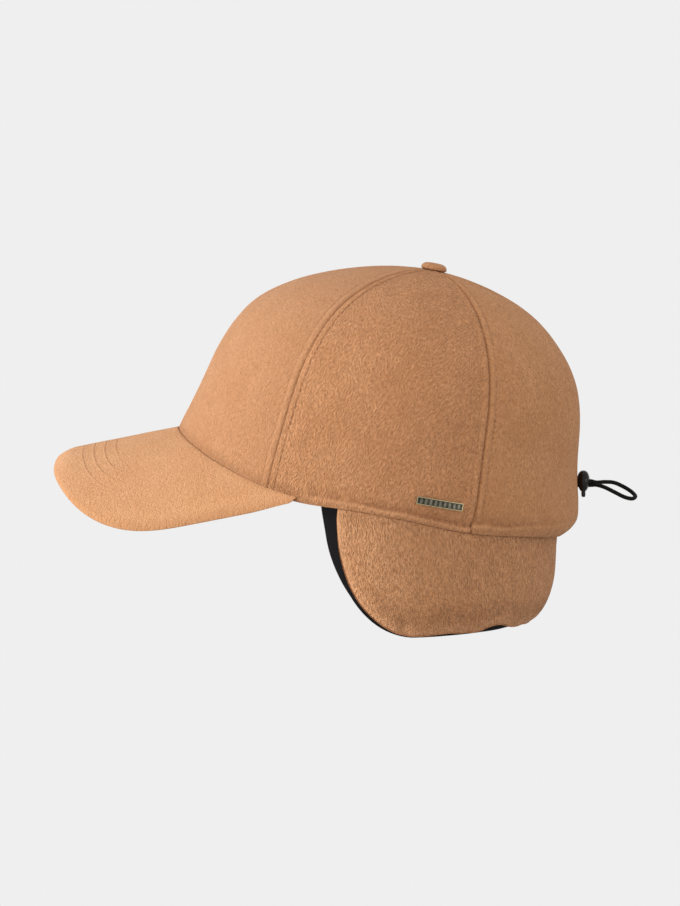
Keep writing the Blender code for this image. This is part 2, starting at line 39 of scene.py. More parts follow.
# Crown
RIM_FRONT = 0.1109
RIM_BACK = 0.1043
RIM_SIDE = 0.0867
CROWN_HEIGHT = 0.1212
CROWN_TILT = math.radians(11.0)
APEX_BACK = 0.0059
CROWN_WALL = 0.002
CROWN_MOUTH = 0.0028
SEAM_ANGLES = (0.0, 60.0, 118.0, 180.0)
PANELS = (
    # name, strength of the seams and of their stitching at its front and its back
    ("front", (0.7, 0.65), (0.3, 0.2)),
    ("side", (0.65, 1.0), (0.65, 0.2)),
    ("back", (1.0, 0.8), (0.5, 0.4)),
)
CROWN_PROFILE = np.array(
    (
        # front reach, front height, side reach, side height, back reach, back height
        (1.000, 0.000, 1.000, 0.000, 1.000, 0.000),
        (0.975, 0.126, 1.000, 0.120, 0.990, 0.100),
        (0.937, 0.260, 0.985, 0.260, 0.943, 0.250),
        (0.895, 0.429, 0.957, 0.420, 0.923, 0.420),
        (0.859, 0.544, 0.918, 0.545, 0.893, 0.545),
        (0.800, 0.670, 0.850, 0.660, 0.830, 0.665),
        (0.720, 0.765, 0.755, 0.765, 0.735, 0.764),
        (0.592, 0.849, 0.630, 0.850, 0.610, 0.856),
        (0.441, 0.914, 0.475, 0.920, 0.465, 0.920),
        (0.281, 0.959, 0.310, 0.967, 0.300, 0.963),
        (0.130, 0.989, 0.145, 0.993, 0.135, 0.990),
        (0.000, 1.000, 0.000, 1.000, 0.000, 1.000),
    )
)
TOP_ROW = len(CROWN_PROFILE) - 1
MIDDLE_ROW = 5
NORMAL_STEP = 0.05
SEARCH_STEPS = 24
PROFILE_SOFTENING = 0.45  # rows over which the profile's corners are evened out

# Hem and back roll of the crown
HEM_HEIGHT = 0.006
HEM_CREASE_FADE = 0.0032
HEM_CREASE_WIDTH = 0.0009
HEM_PUFF = 0.0004
HEM_RETREAT = 0.0002
HEM_EDGE_ROUNDING = 0.0016
HEM_EDGE_SOFTNESS = 0.4
HEM_CREASES = np.array(
    (
        # angle, height of the crease above the edge, depth of the crease
        (60.0, 0.0042, 0.0007),
        (80.0, 0.0042, 0.0013),
        (94.0, 0.0034, 0.0016),
        (117.9, 0.0034, 0.0015),
        (118.1, 0.0050, 0.0014),
        (131.0, 0.0046, 0.0012),
        (146.0, 0.0066, 0.0006),
        (160.0, 0.0084, 0.0002),
        (180.0, 0.0090, 0.0001),
    )
)
HEM_DROPS = (
    # angle, half width in degrees, how much lower the edge hangs there
    (70.0, 12.0, 0.0021),
    (118.0, 15.0, 0.0018),
)
HEM_DROP_AHEAD = 5.0  # degrees ahead of the peak's end where the drop starts
HEM_DROP_FADE = 4.0
HEM_FADE_AHEAD = 1.0  # the same for the hem's crease and roll
HEM_FADE = 7.0
HEM_ROLL_PLACE = 0.0010  # below the crease
HEM_ROLL_WIDTH = 0.0012
BACK_ROLL = 0.0065
BACK_ROLL_HEIGHT = 0.012
BACK_ROLL_CURVE = 2.0
BACK_ROLL_FADE = 1.5

# Seams and stitching
SEAM_DEPTH = 0.0007
SEAM_WIDTH = 0.00065
SEAM_PUFF = 0.0003
SEAM_PUFF_PLACE = 0.0021
SEAM_PUFF_WIDTH = 0.0014
STITCH_OFFSET = 0.0039
STITCH_DEPTH = 0.00022
STITCH_WIDTH = 0.0006
STITCH_LENGTH = 0.0029
ROW_PITCH = 0.0057  # between the rows of stitching on the peak
SEAM_FULL_WIDTH = 0.016  # a panel that is narrower has shallower seams
SEAM_CROWDING = 0.75  # how much closer together a panel's columns are at its seams

# Unevenness of the cloth: depth or strength, and size
UNEVENNESS = (0.35, 0.007)
# How unevenly the painted shade in seams, creases and stitches shows: strength and size
SHADE_UNEVENNESS = (0.5, 0.0045)
CREASE_WANDER = (0.0004, 0.010)
CROWN_DENTS = (0.0006, 0.034)
CROWN_RIPPLES = (0.00022, 0.011)
RIPPLE_FADE = 0.012
PEAK_RIPPLES = (0.0002, 0.012)
PEAK_DENTS = (0.0005, 0.04)
FLAP_DENTS = (0.0007, 0.03)
FLAP_RIPPLES = (0.00025, 0.010)

# Peak
PEAK_REACH = 0.0557
PEAK_TIP_HEIGHT = 0.0237
PEAK_SLOPE = 0.197
PEAK_HALF_WIDTH = 0.082
PEAK_ROUND_LENGTH = 0.075
PEAK_ROUND_WEIGHT = 1.6
PEAK_SQUARENESS = 3.0
PEAK_ARCH_RADIUS = 0.102
PEAK_THICKNESS = 0.0036
PEAK_END_THICKNESS = 0.0012
PEAK_END_ANGLE = 69.0
PEAK_END_SHARPNESS = 6.0
PEAK_END_WIDTH = 0.0016
PEAK_END_TUCK = 0.022  # share of each side over which the worn end narrows to nothing
PEAK_TIP_DROP = 0.0034  # how far the peak bends down at its tip
PEAK_TIP_BEND = 0.011
PEAK_ROWS_FROM_EDGE = 0.0146
PEAK_ROW_COUNT = 4
PEAK_BEND_SIDES = (0.012, 0.045)  # from the middle, where the bend starts to fade, and over how far
PEAK_ROWS_BACK = (0.028, 0.015)  # the same for the rows, behind the tip
PEAK_ROWS_FADE = (0.040, 0.070)  # from the middle, where the nap starts and ends hiding them

# Ear and neck flap with its lining
FLAP_WALL = 0.002
FLAP_START_ANGLE = 80.3
FLAP_TUCK_IN = 0.0042
FLAP_EAR_ANGLE = 105.0
FLAP_CURL_ANGLE = 100.0
FLAP_EAR_DROP = 0.0625
FLAP_BACK_DROP = 0.0635
FLAP_CORNER_WIDTH = 0.038
FLAP_CORNER_HEIGHT = 0.050
FLAP_EAR_CURL = 0.003
FLAP_BACK_CURL = 0.012
FLAP_CURL_POWER = 4
FLAP_EDGE_ROUNDING = 0.0055
FLAP_SET_BACK = 0.0013  # how far the worn wool's corner stays behind the solid's
FLAP_SET_BACK_DEPTH = 0.036
FLAP_SET_BACK_SPREAD = 0.018
FLAP_CORNER_RISE = 0.0010
FLAP_CORNER_RISE_PLACE = 0.014
FLAP_CORNER_RISE_SPREAD = 0.010
FLAP_FRONT_CURL = 0.0030  # how far the front edge turns in towards the ear
FLAP_FRONT_CURL_WIDTH = 0.022
FLAP_PUFF_START = 0.0007  # above the crown's edge
FLAP_PUFF_RISE = 0.0014
FLAP_FINE_DEPTH = 0.0045
FLAP_FINE_STEP = 0.0004
FLAP_TOP_PUFF = 0.0019
FLAP_TOP_PUFF_REACH = 0.016
FLAP_PUFF_LOSS = 0.75  # the share of the puff that is lost towards the back
FLAP_PUFF_BACK = (115.0, 35.0)  # from which angle and over how many degrees
FLAP_HANG = 0.008  # depth at which the flap hangs free of the crown
FLAP_FOLD_REACH = 0.009
FLAP_NOTCHES = (
    # angle, half width in degrees, how far the wool rises there
    (113.0, 5.0, 0.0009),
    (132.0, 6.5, 0.0030),
)
FLAP_FOLDS = (
    # angle, half width in degrees, how deep the fold is
    (99.0, 1.6, 0.0009),
    (109.0, 2.2, 0.0006),
    (119.0, 1.8, 0.0008),
    (128.0, 2.4, 0.0010),
    (150.0, 2.5, 0.0006),
    (168.0, 2.0, 0.0007),
)
LINING_WALL = 0.001
LAYER_GAP = 0.0009
LINING_MARGIN = 0.0088
LINING_LEAST = 0.1
LINING_DROP = 0.0012
GAP = 0.0003

# Top button
BUTTON_DIAMETER = 0.0134
BUTTON_HEIGHT = 0.0029
BUTTON_UNDERSIDE = 0.0012
BUTTON_ROUNDNESS = 0.5
BUTTON_DENTS = (0.00012, 0.003)

# Badge
BADGE_LENGTH = 0.024
BADGE_WIDTH = 0.0038
BADGE_THICKNESS = 0.0010
BADGE_RECESS = 0.0004
BADGE_FRAME = 0.00036
BADGE_RIBS = 9
BADGE_RIB_HEIGHT = 0.0002
BADGE_CHAMFER = 0.00008
BADGE_FLOOR_CHAMFER = 0.00005
BADGE_STEP = 0.0008  # along each bar
BADGE_ANGLE = 107.3
BADGE_HEIGHT = 0.0109

# Drawcord and its lock
CORD_DIAMETER = 0.0021
CORD_LEVEL = 0.0073
CORD_ROUTE = np.array(
    (
        # millimetres to the side, behind the crown and up; share of the strands' half spacing
        (0.0, -4.5, 0.0, 1.0),
        (0.0, 1.0, 0.0, 1.0),
        (0.0, 6.2, 0.0, 1.0),
        (-0.3, 8.2, 0.0, 0.8),
        (-1.2, 10.8, 0.2, 0.0),
        (-2.6, 15.0, 0.3, 0.0),
        (-3.9, 20.0, -0.2, 0.0),
        (-4.4, 25.0, -2.4, 0.0),
        (-3.4, 28.9, -4.8, 0.0),
        (0.0, 30.8, -6.9, 0.0),
        (3.4, 28.8, -7.8, 0.0),
        (4.3, 24.7, -6.8, 0.0),
        (3.8, 20.0, -4.5, 0.0),
        (2.5, 15.0, -2.1, 0.0),
        (1.1, 10.8, -0.9, 0.0),
        (0.3, 8.2, 0.0, -0.9),
        (0.0, 6.2, 0.0, -1.0),
        (0.0, 1.0, 0.0, -1.0),
        (0.0, -4.5, 0.0, -1.0),
    )
)
STRAND_SPACING = 0.0022
LOCK_WIDTH = 0.0094
LOCK_DEPTH = 0.0064
LOCK_TOP = 0.0139
LOCK_BOTTOM = 0.0027
LOCK_SQUARENESS = 0.86
LOCK_TAPER = (0.84, 0.18, 0.6)  # share of the width at the bottom, added further up, and up to which height
PLUNGER_WIDTH = 0.006
PLUNGER_THICKNESS = 0.0021
PLUNGER_TIP = 0.0001
PLUNGER_NOTCH = 0.0030  # height of the hollow in its top that clears the strands
PLUNGER_NOTCH_HALF = 0.0013
PLUNGER_NOTCH_FADE = 0.0006
PLUNGER_HEIGHT = 0.0046
PLUNGER_SQUARENESS = 0.45

# Cloth's colour and relief
NAP_SWAY = 0.0040
PATCH_SHARE = 0.36
PATCH_TINT = (0.98, 0.88, 0.76)
# Colour of the painted shade in creases, seams, stitches and under things, as shares of the dark wool's
PAINTED_SHADE_TINT = (0.50, 0.40, 0.32)
# How much paler than the light wool the painted highlights on ridges and edges are
PAINTED_HIGHLIGHT_TINT = 1.10
CREASE_SHADE_WIDTH = 0.0034
UV_SHIFT = 0.31  # between the pieces, so that no two have the same nap
BRAID_STRANDS = 6
STITCH_LINE = 0.0008
# One wool in lit and shaded copies: each piece's dark and light colours are set lighter or darker to match
# how brightly it is lit, which is painted light and shade.
WOOLS = (
    # name, dark, light, streak width, length and share, slant, contrast, relief, strength of the dashes
    ("front", (0.342, 0.153, 0.066), (0.480, 0.236, 0.115), 0.00080, 0.0022, 0.40, 0.15, 0.14, 0.0017, 0.75),
    ("side", (0.365, 0.157, 0.065), (0.572, 0.274, 0.128), 0.00078, 0.0020, 0.54, 0.20, 0.105, 0.0031, 0.60),
    ("back", (0.360, 0.158, 0.064), (0.515, 0.252, 0.117), 0.00080, 0.0026, 0.50, 0.08, 0.12, 0.0023, 0.75),
    ("flap", (0.370, 0.164, 0.070), (0.580, 0.286, 0.138), 0.00085, 0.0028, 0.58, 0.05, 0.108, 0.0035, 0.75),
    ("peak", (0.445, 0.210, 0.092), (0.565, 0.290, 0.143), 0.00080, 0.0018, 0.25, 0.10, 0.15, 0.0013, 0.10),
)
BADGE_METALS = (
    # name, dark, light, roughness
    ("dark badge field", (0.035, 0.033, 0.022), (0.07, 0.065, 0.045), 0.45),
    ("light badge frame", (0.38, 0.32, 0.18), (0.54, 0.47, 0.30), 0.35),
    ("dull badge ribs", (0.11, 0.10, 0.08), (0.20, 0.185, 0.145), 0.45),
)

# Marks of painted shade, which darken the wool, and of painted highlight, which lighten it
SEAM_CHANGE = (0.45, 0.55)  # share of a panel's width over which its seams' strengths change
# How strongly the painted shade in seams, creases and stitches shows on average
SHADE_STRENGTH_MEAN = 0.8
SEAM_SHADE = 0.55
SEAM_SHADE_SPREAD = 0.9
CREASE_SHADE = 0.45
CREASE_SHADE_START = 0.0004
CREASE_SHADE_STEEPNESS = 4  # below its start
PEAK_LINE_PLACE = 0.0003
# Painted shade along the line between peak and crown
PEAK_LINE_WIDTHS = (0.0034, 0.0004)  # the line between peak and crown, and how much less at its end
PEAK_LINE_SHADES = (0.38, 0.45)  # along the peak, and at its end
PEAK_LINE_END = (17, 12, 3)  # degrees: starts before the end, strengthens over, fades past it
STITCH_SHADE_WIDTH = 0.0016
# Painted highlight on the hem's ridge below its crease
HEM_RIDGE = (1.2, 0.0008, 0.0010)  # strength, place below the crease, width
# Painted highlight on the puffs beside the seams
SEAM_RIDGE = 0.3
# Painted shade where the peak meets the crown
PEAK_ROOT_SHADE = (0.3, 0.0016)  # strength and width
# Painted shade along the peak's outer edge
PEAK_EDGE_SHADE = (0.2, 0.0016)
# Painted highlight on a band inside the peak's edge
PEAK_EDGE_RIDGE = (0.25, 0.004, 0.002)  # strength, place and width
# Strength of the peak's sunken stitches, in relief and painted shade
PEAK_STITCHES = 0.45
# Painted shade on the flap under the crown's rim
FLAP_TOP_SHADE = (0.04, 0.16, 0.0016)  # strength at the ear, what is added at the back, depth
FLAP_TOP_SHADE_BACK = (120, 20)  # from which angle, over how many degrees
# Painted shade in a band above the flap's hem
FLAP_HEM_SHADE = (0.36, 0.009, 0.005)  # strength, place above the hem, width
FLAP_HEM_SHADE_FADE = 0.03
# Painted highlight on the flap's rounded edges
FLAP_EDGE_HIGHLIGHT = 0.8
# Painted shade on the button's underside
BUTTON_SHADE = (0.6, 0.0004, 0.0012)  # strength, height where it ends, over how much

# Mesh density
PANEL_COLUMNS = 96
PANEL_STEP = 0.0012
HEM_STEP = 0.0005
PEAK_COLUMNS = 280
FLAP_CORNER_COLUMNS = 46
FLAP_STEP = 0.0009


# Shapes shared by the pieces


def ease(value):
    """0 below 0, 1 above 1, and a soft rise between."""
    value = np.clip(value, 0.0, 1.0)
    return value * value * (3 - 2 * value)


def bump(distance, width):
    return np.exp(-((distance / width) ** 2))


def smooth_through(table, place):
    """Rows of a table at fractional places, on smooth curves through all its rows."""
    place = np.clip(place, 0.0, len(table) - 1.0)
    index = np.minimum(place.astype(int), len(table) - 2)
    share = (place - index)[..., None]
    a = table[np.maximum(index - 1, 0)]
    b = table[index]
    c = table[index + 1]
    d = table[np.minimum(index + 2, len(table) - 1)]
    slope = (c - a) * share
    curve = (2 * a - 5 * b + 4 * c - d) * share**2
    twist = (3 * b - a - 3 * c + d) * share**3
    return 0.5 * (2 * b + slope + curve + twist)


def soft_profile(row):
    """The crown's profile with its corners evened out, unchanged at the rim and the apex."""
    reach = np.minimum(PROFILE_SOFTENING, np.minimum(row, TOP_ROW - row))
    total = 0.0
    offsets = (-1.0, -0.5, 0.0, 0.5, 1.0)
    for offset in offsets:
        total = total + smooth_through(CROWN_PROFILE, row + offset * reach)
    return total / len(offsets)


def tilted(side, along, up):
    """A point of the crown's own frame, whose base is the rim's plane, in the cap's frame."""
    cosine, sine = math.cos(CROWN_TILT), math.sin(CROWN_TILT)
    return np.stack(np.broadcast_arrays(side, along * cosine + up * sine, up * cosine - along * sine), -1)


RIM_LEVEL = tilted(0.0, 0.0, 1.0)


def crown_surface(angle, row):
    """Points of the crown's outer face: angle in degrees from the front, row in CROWN_PROFILE."""
    angle, row = np.broadcast_arrays(np.asarray(angle, float), np.asarray(row, float))
    turn = np.radians(angle)
    shape = soft_profile(row)
    front = np.cos(turn) > 0
    ahead = np.cos(turn) ** 2
    reach = np.where(front, shape[..., 0], shape[..., 4]) * ahead + shape[..., 2] * (1 - ahead)
    height = np.where(front, shape[..., 1], shape[..., 5]) * ahead + shape[..., 3] * (1 - ahead)
    middle = (RIM_BACK - RIM_FRONT) / 2
    half_length = (RIM_BACK + RIM_FRONT) / 2
    along = APEX_BACK + reach * (middle - half_length * np.cos(turn) - APEX_BACK)
    return tilted(reach * RIM_SIDE * np.sin(turn), along, height * CROWN_HEIGHT)


def unit(vectors):
    return vectors / np.linalg.norm(vectors, axis=-1, keepdims=True)


def crown_normal(angle, row):
    low = np.maximum(row - NORMAL_STEP, 0.0)
    high = np.minimum(row + NORMAL_STEP, TOP_ROW - 4 * NORMAL_STEP)
    around = crown_surface(angle + 1, row) - crown_surface(angle - 1, row)
    upward = crown_surface(angle, high) - crown_surface(angle, low)
    return unit(np.cross(around, upward))


def row_where(angle, test):
    """The lowest row of the crown, up to its middle, that passes the test, for each angle."""
    low = np.zeros_like(angle, dtype=float)
    high = np.full_like(low, MIDDLE_ROW)
    at_once = test(crown_surface(angle, low))
    for _ in range(SEARCH_STEPS):
        middle = (low + high) / 2
        passed = test(crown_surface(angle, middle))
        high = np.where(passed, middle, high)
        low = np.where(passed, low, middle)
    return np.where(at_once, 0.0, high)


def row_at_height(angle, height):
    return row_where(angle, lambda point: point @ RIM_LEVEL >= height)


def peak_top(x, y):
    """Height of the peak's upper face: a slope to the front, arched from side to side."""
    behind_tip = y + RIM_FRONT + PEAK_REACH
    arch = PEAK_ARCH_RADIUS - np.sqrt(PEAK_ARCH_RADIUS**2 - x**2)
    return PEAK_TIP_HEIGHT + PEAK_SLOPE * behind_tip - arch


def peak_row(angle):
    return row_where(angle, lambda point: point[..., 2] >= peak_top(point[..., 0], point[..., 1]))


def peak_thickness(across):
    middle = 1 - np.abs(across) ** PEAK_END_SHARPNESS
    return PEAK_END_THICKNESS + (PEAK_THICKNESS - PEAK_END_THICKNESS) * middle


def rim_height(angle):
    """How high the crown's lower edge is above the rim's plane: only the peak lifts it."""
    inside = np.clip(angle, -PEAK_END_ANGLE, PEAK_END_ANGLE)
    root = crown_surface(inside, peak_row(inside)) @ RIM_LEVEL
    lifted = np.maximum(0.0, root - peak_thickness(inside / PEAK_END_ANGLE))
    return np.where(np.abs(angle) >= PEAK_END_ANGLE, 0.0, lifted)


def roll_inward(angle, height):
    """How far the hem at the back is rolled in, at a height above the edge."""
    back = np.maximum(0.0, -np.cos(np.radians(angle))) ** BACK_ROLL_FADE
    share = np.maximum(0.0, 1 - height / BACK_ROLL_HEIGHT)
    return BACK_ROLL * back * share**BACK_ROLL_CURVE


def roll_stretch(angle, height):
    """How much longer a wall is across the rolled hem than it is square to it."""
    step = BACK_ROLL_HEIGHT / 100
    slope = (roll_inward(angle, height) - roll_inward(angle, height + step)) / step
    return np.sqrt(1 + slope**2)


def crown_face(angle, height, inset=0.0):
    """Points of the crown's face near its edge, by their height above that edge."""
    angle, height, inset = np.broadcast_arrays(*(np.asarray(v, float) for v in (angle, height, inset)))
    row = row_at_height(angle, rim_height(angle) + height)
    inward = inset + roll_inward(angle, height)
    return crown_surface(angle, row) - crown_normal(angle, row) * inward[..., None]


def back_face(level):
    """Where the crown's outer face is at the back, at a height in the cap's frame."""
    angle = np.array([180.0])
    row = row_where(angle, lambda point: point[..., 2] >= level)
    return float(crown_surface(angle, row)[0, 1])


def sum_of_bumps(table, angle):
    """The sum of a table's bumps: angle, half width and size of each."""
    total = 0.0
    for place, width, size in table:
        total = total + size * bump(angle - place, width)
    return total


def hem_drop(angle):
    """How much lower than the solid's edge the worn edge of the crown hangs."""
    past_peak = ease((angle - PEAK_END_ANGLE + HEM_DROP_AHEAD) / HEM_DROP_FADE)
    return sum_of_bumps(HEM_DROPS, angle) * past_peak


def soft_noise(points, size, seed):
    """Smooth noise from -1 to 1 over points in space, with features of that size."""
    lattice = np.random.RandomState(seed).uniform(-1, 1, (16, 16, 16))
    place = points / size + 500.0
    cell = np.floor(place).astype(int)
    share = ease(place - cell)
    total = 0.0
    for corner in np.ndindex(2, 2, 2):
        weight = 1.0
        for axis, step in enumerate(corner):
            weight = weight * (share[..., axis] if step else 1 - share[..., axis])
        x, y, z = ((cell[..., axis] + step) % 16 for axis, step in enumerate(corner))
        total = total + weight * lattice[x, y, z]
    return total


def dents(points, depth_and_size, seed):
    depth, size = depth_and_size
    return depth * soft_noise(points, size, seed)


def edge_rounding(wall, distance, reach):
    """How far each face of a wall is drawn in, at a distance from its rounded edge."""
    edge = np.clip(distance / reach, 0, 1)
    return wall / 2 * (1 - np.sqrt(1 - (1 - edge) ** 2))


def travelled(grid, axis):
    """How far each point of a grid is along its row or column."""
    steps = np.linalg.norm(np.diff(grid, axis=axis), axis=-1)
    start = np.zeros_like(np.take(steps, [0], axis=axis))
    return np.concatenate([start, np.cumsum(steps, axis=axis)], axis=axis)


def edge_steps(length, count):
    """Places from 0 to a length, closest together at 0."""
    return length * (np.arange(count + 1) / count) ** 2


# Mesh building


def new_mesh(name, points, faces):
    mesh = bpy.data.meshes.new(name)
    mesh.from_pydata(np.asarray(points, float).tolist(), [], faces)
    mesh.validate()
    return mesh


def add_map(mesh, name, values):
    """A UV layer from two values for each vertex."""
    loops = np.zeros(len(mesh.loops), int)
    mesh.loops.foreach_get("vertex_index", loops)
    mesh.uv_layers.new(name=name).data.foreach_set("uv", values[loops].astype(np.float32).ravel())


def add_marks(mesh, values):
    """Painted shade in creases, seams and other hollows as red, sunken stitches with their painted shade as
    green, and painted highlights on ridges and edges as blue, for each vertex.
    """
    full = np.concatenate([values, np.ones((len(values), 1))], -1)
    layer = mesh.color_attributes.new("marks", "FLOAT_COLOR", "POINT")
    layer.data.foreach_set("color", full.astype(np.float32).ravel())


def solid_between(name, outer, inner, cloth, stitch, marks):
    """A closed mesh between two grids, with the cloth's and the stitching's UVs and the marks."""
    rows, columns = outer.shape[:2]
    number = np.arange(rows * columns).reshape(rows, columns)
    a, b = number[:-1, :-1], number[:-1, 1:]
    c, d = number[1:, 1:], number[1:, :-1]
    top = np.stack([a, b, c, d], -1).reshape(-1, 4)
    low = np.stack([a, d, c, b], -1).reshape(-1, 4) + rows * columns
    border = np.concatenate([number[0, :-1], number[:-1, -1], number[-1, :0:-1], number[:0:-1, 0]])
    after = np.roll(border, -1)
    side = np.stack([after, border, border + rows * columns, after + rows * columns], -1)
    points = np.concatenate([outer.reshape(-1, 3), inner.reshape(-1, 3)])
    mesh = new_mesh(name, points, np.concatenate([top, low, side]).tolist())
    for title, values in (("cloth", cloth), ("stitch", stitch)):
        add_map(mesh, title, np.concatenate([values.reshape(-1, 2)] * 2))
    add_marks(mesh, np.concatenate([marks.reshape(-1, 3)] * 2))
    mesh.shade_smooth()
    return mesh


def ring_quads(rings, size):
    """Faces between closed rings of points, each ring numbered after the one before."""
    quads = []
    for r in range(rings - 1):
        for c in range(size):
            after = (c + 1) % size
            quads.append((r * size + c, r * size + after, (r + 1) * size + after, (r + 1) * size + c))
    return quads


def add_piece(name, mesh, material, body, nodes):
    """A named object that rides a body, stands for solids and takes its finish from a slot."""
    item = bpy.data.objects.new(name, mesh)
    bpy.context.scene.collection.objects.link(item)
    if material:
        mesh.materials.append(material)
    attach(item, body)
    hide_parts(*nodes)
    return item


# Materials


def node(tree, kind, inputs=(), **settings):
    item = tree.nodes.new(kind)
    for name, value in settings.items():
        setattr(item, name, value)
    for name, value in dict(inputs).items():
        if isinstance(value, bpy.types.NodeSocket):
            tree.links.new(value, item.inputs[name])
        else:
            item.inputs[name].default_value = value
    return item


def calc(tree, operation, *values):
    return node(tree, "ShaderNodeMath", enumerate(values), operation=operation).outputs[0]


def times(tree, first, second):
    return calc(tree, "MULTIPLY", first, second)


def plus(tree, first, second):
    return calc(tree, "ADD", first, second)


def minus(tree, first, second):
    return calc(tree, "SUBTRACT", first, second)


def scaled(color, *factors):
    """A colour times one factor, or each channel times its own."""
    return tuple(np.multiply(color, factors).tolist())


def blend_colors(tree, share, low, high):
    item = node(tree, "ShaderNodeMix", data_type="RGBA")
    for place, value in ((0, share), (6, low), (7, high)):
        if isinstance(value, bpy.types.NodeSocket):
            tree.links.new(value, item.inputs[place])
        else:
            item.inputs[place].default_value = value if place == 0 else (*value, 1.0)
    return item.outputs[2]


def spread(tree, value, low, high):
    """The value from low to high as 0 to 1."""
    inputs = {"Value": value, "From Min": low, "From Max": high}
    return node(tree, "ShaderNodeMapRange", inputs).outputs[0]


def noise(tree, place, scale, detail=2.0, roughness=0.5, distortion=0.0):
    inputs = {"Vector": place, "Scale": scale, "Detail": detail, "Roughness": roughness}
    inputs["Distortion"] = distortion
    return node(tree, "ShaderNodeTexNoise", inputs).outputs["Fac"]


def vector(tree, x, y):
    return node(tree, "ShaderNodeCombineXYZ", {"X": x, "Y": y}).outputs[0]


def split(tree, name):
    """The two values of a UV layer."""
    mapped = node(tree, "ShaderNodeUVMap", uv_map=name).outputs[0]
    parts = node(tree, "ShaderNodeSeparateXYZ", {"Vector": mapped}).outputs
    return parts["X"], parts["Y"]


def principled(name, roughness, metallic=0.0, specular=0.5):
    material = bpy.data.materials.new(name)
    material.use_nodes = True
    tree = material.node_tree
    shader = tree.nodes["Principled BSDF"]
    shader.inputs["Roughness"].default_value = roughness
    shader.inputs["Metallic"].default_value = metallic
    shader.inputs["Specular IOR Level"].default_value = specular
    return material, tree, shader


def finish_material(tree, shader, color, height, strength, distance):
    """Link the colour and the relief to the shader."""
    inputs = {"Height": height, "Strength": strength, "Distance": distance}
    tree.links.new(color, shader.inputs["Base Color"])
    tree.links.new(node(tree, "ShaderNodeBump", inputs).outputs[0], shader.inputs["Normal"])


def wool_material(name, dark, light, width, length, share, slope, contrast, depth, dashes):
    """Brushed wool: short slanted streaks of nap, soft patches, flecks and sunken stitches, with painted
    shade from the red and green marks and painted highlights from the blue ones.
    """
    material, tree, shader = principled(name, 0.95, specular=0.1)
    u, v = split(tree, "cloth")
    flat = vector(tree, u, v)
    sway = times(tree, minus(tree, noise(tree, flat, 130.0, 2.0), 0.5), NAP_SWAY)
    across = plus(tree, plus(tree, u, times(tree, v, -slope)), sway)
    long_nap = vector(tree, times(tree, across, 1 / width), times(tree, v, 1 / length))
    short_nap = vector(tree, times(tree, across, 2 / width), times(tree, v, 1 / (0.45 * length)))
    streaks = times(tree, noise(tree, long_nap, 1.0, 1.5, 0.55), share)
    fine = times(tree, noise(tree, short_nap, 1.0, 1.0), 0.25)
    flecks = times(tree, noise(tree, flat, 760.0, 2.0, 0.6, 1.0), 0.75 - share)
    nap = plus(tree, plus(tree, streaks, fine), flecks)
    patches = noise(tree, flat, 42.0, 3.0, 0.55)
    marks = node(tree, "ShaderNodeVertexColor", layer_name="marks").outputs[0]
    marked = node(tree, "ShaderNodeSeparateColor", {"Color": marks}).outputs
    cloth = blend_colors(tree, spread(tree, nap, 0.5 - contrast, 0.5 + contrast), dark, light)
    mottle = times(tree, spread(tree, patches, 0.3, 0.7), PATCH_SHARE)
    cloth = blend_colors(tree, mottle, cloth, scaled(dark, *PATCH_TINT))
    line, run = split(tree, "stitch")
    off = calc(tree, "ABSOLUTE", minus(tree, line, calc(tree, "ROUND", line)))
    groove = minus(tree, 1.0, spread(tree, times(tree, off, ROW_PITCH), 0.0, STITCH_LINE))
    beat = calc(tree, "SINE", times(tree, run, 2 * math.pi / STITCH_LENGTH))
    dash = times(tree, minus(tree, 1.0, spread(tree, beat, -0.9, 0.6)), dashes)
    dimple = times(tree, times(tree, groove, minus(tree, 1.0, dash)), marked["Green"])
    # Painted shade: the red marks and the stitch dimples darken the wool towards the shade tint.
    crease = calc(tree, "MAXIMUM", marked["Red"], times(tree, dimple, 0.55))
    cloth = blend_colors(tree, times(tree, crease, 0.8), cloth, scaled(dark, *PAINTED_SHADE_TINT))
    # Painted highlight: the blue marks make ridges and edges paler.
    cloth = blend_colors(tree, times(tree, marked["Blue"], 0.5), cloth, scaled(light, PAINTED_HIGHLIGHT_TINT))
    finish_material(tree, shader, cloth, minus(tree, nap, times(tree, dimple, 0.5)), 1.0, depth)
    shader.inputs["Sheen Weight"].default_value = 0.12
    shader.inputs["Sheen Roughness"].default_value = 0.6
    shader.inputs["Sheen Tint"].default_value = (0.9, 0.75, 0.6, 1.0)
    return material


def knit_material(name, color, pitch):
    """Fine smooth knit: faint columns of loops."""
    material, tree, shader = principled(name, 0.85, specular=0.1)
    u, v = split(tree, "cloth")
    columns = calc(tree, "SINE", times(tree, u, 2 * math.pi / pitch))
    loops = calc(tree, "SINE", times(tree, v, 2 * math.pi / pitch))
    weave = plus(tree, times(tree, columns, 0.5), times(tree, loops, 0.25))
    lint = noise(tree, vector(tree, u, v), 260.0, 3.0)
    share = plus(tree, times(tree, weave, 0.25), lint)
    cloth = blend_colors(tree, share, scaled(color, 0.7), scaled(color, 1.35))
    finish_material(tree, shader, cloth, weave, 0.5, 0.0002)
    return material


def plastic_material(name, color, roughness):
    """Moulded plastic with a fine grain."""
    material, tree, shader = principled(name, roughness, specular=0.25)
    grain = noise(tree, node(tree, "ShaderNodeTexCoord").outputs["Object"], 900.0, 3.0, 0.6)
    mixed = blend_colors(tree, grain, scaled(color, 0.8), scaled(color, 1.25))
    finish_material(tree, shader, mixed, grain, 0.15, 0.0002)
    return material


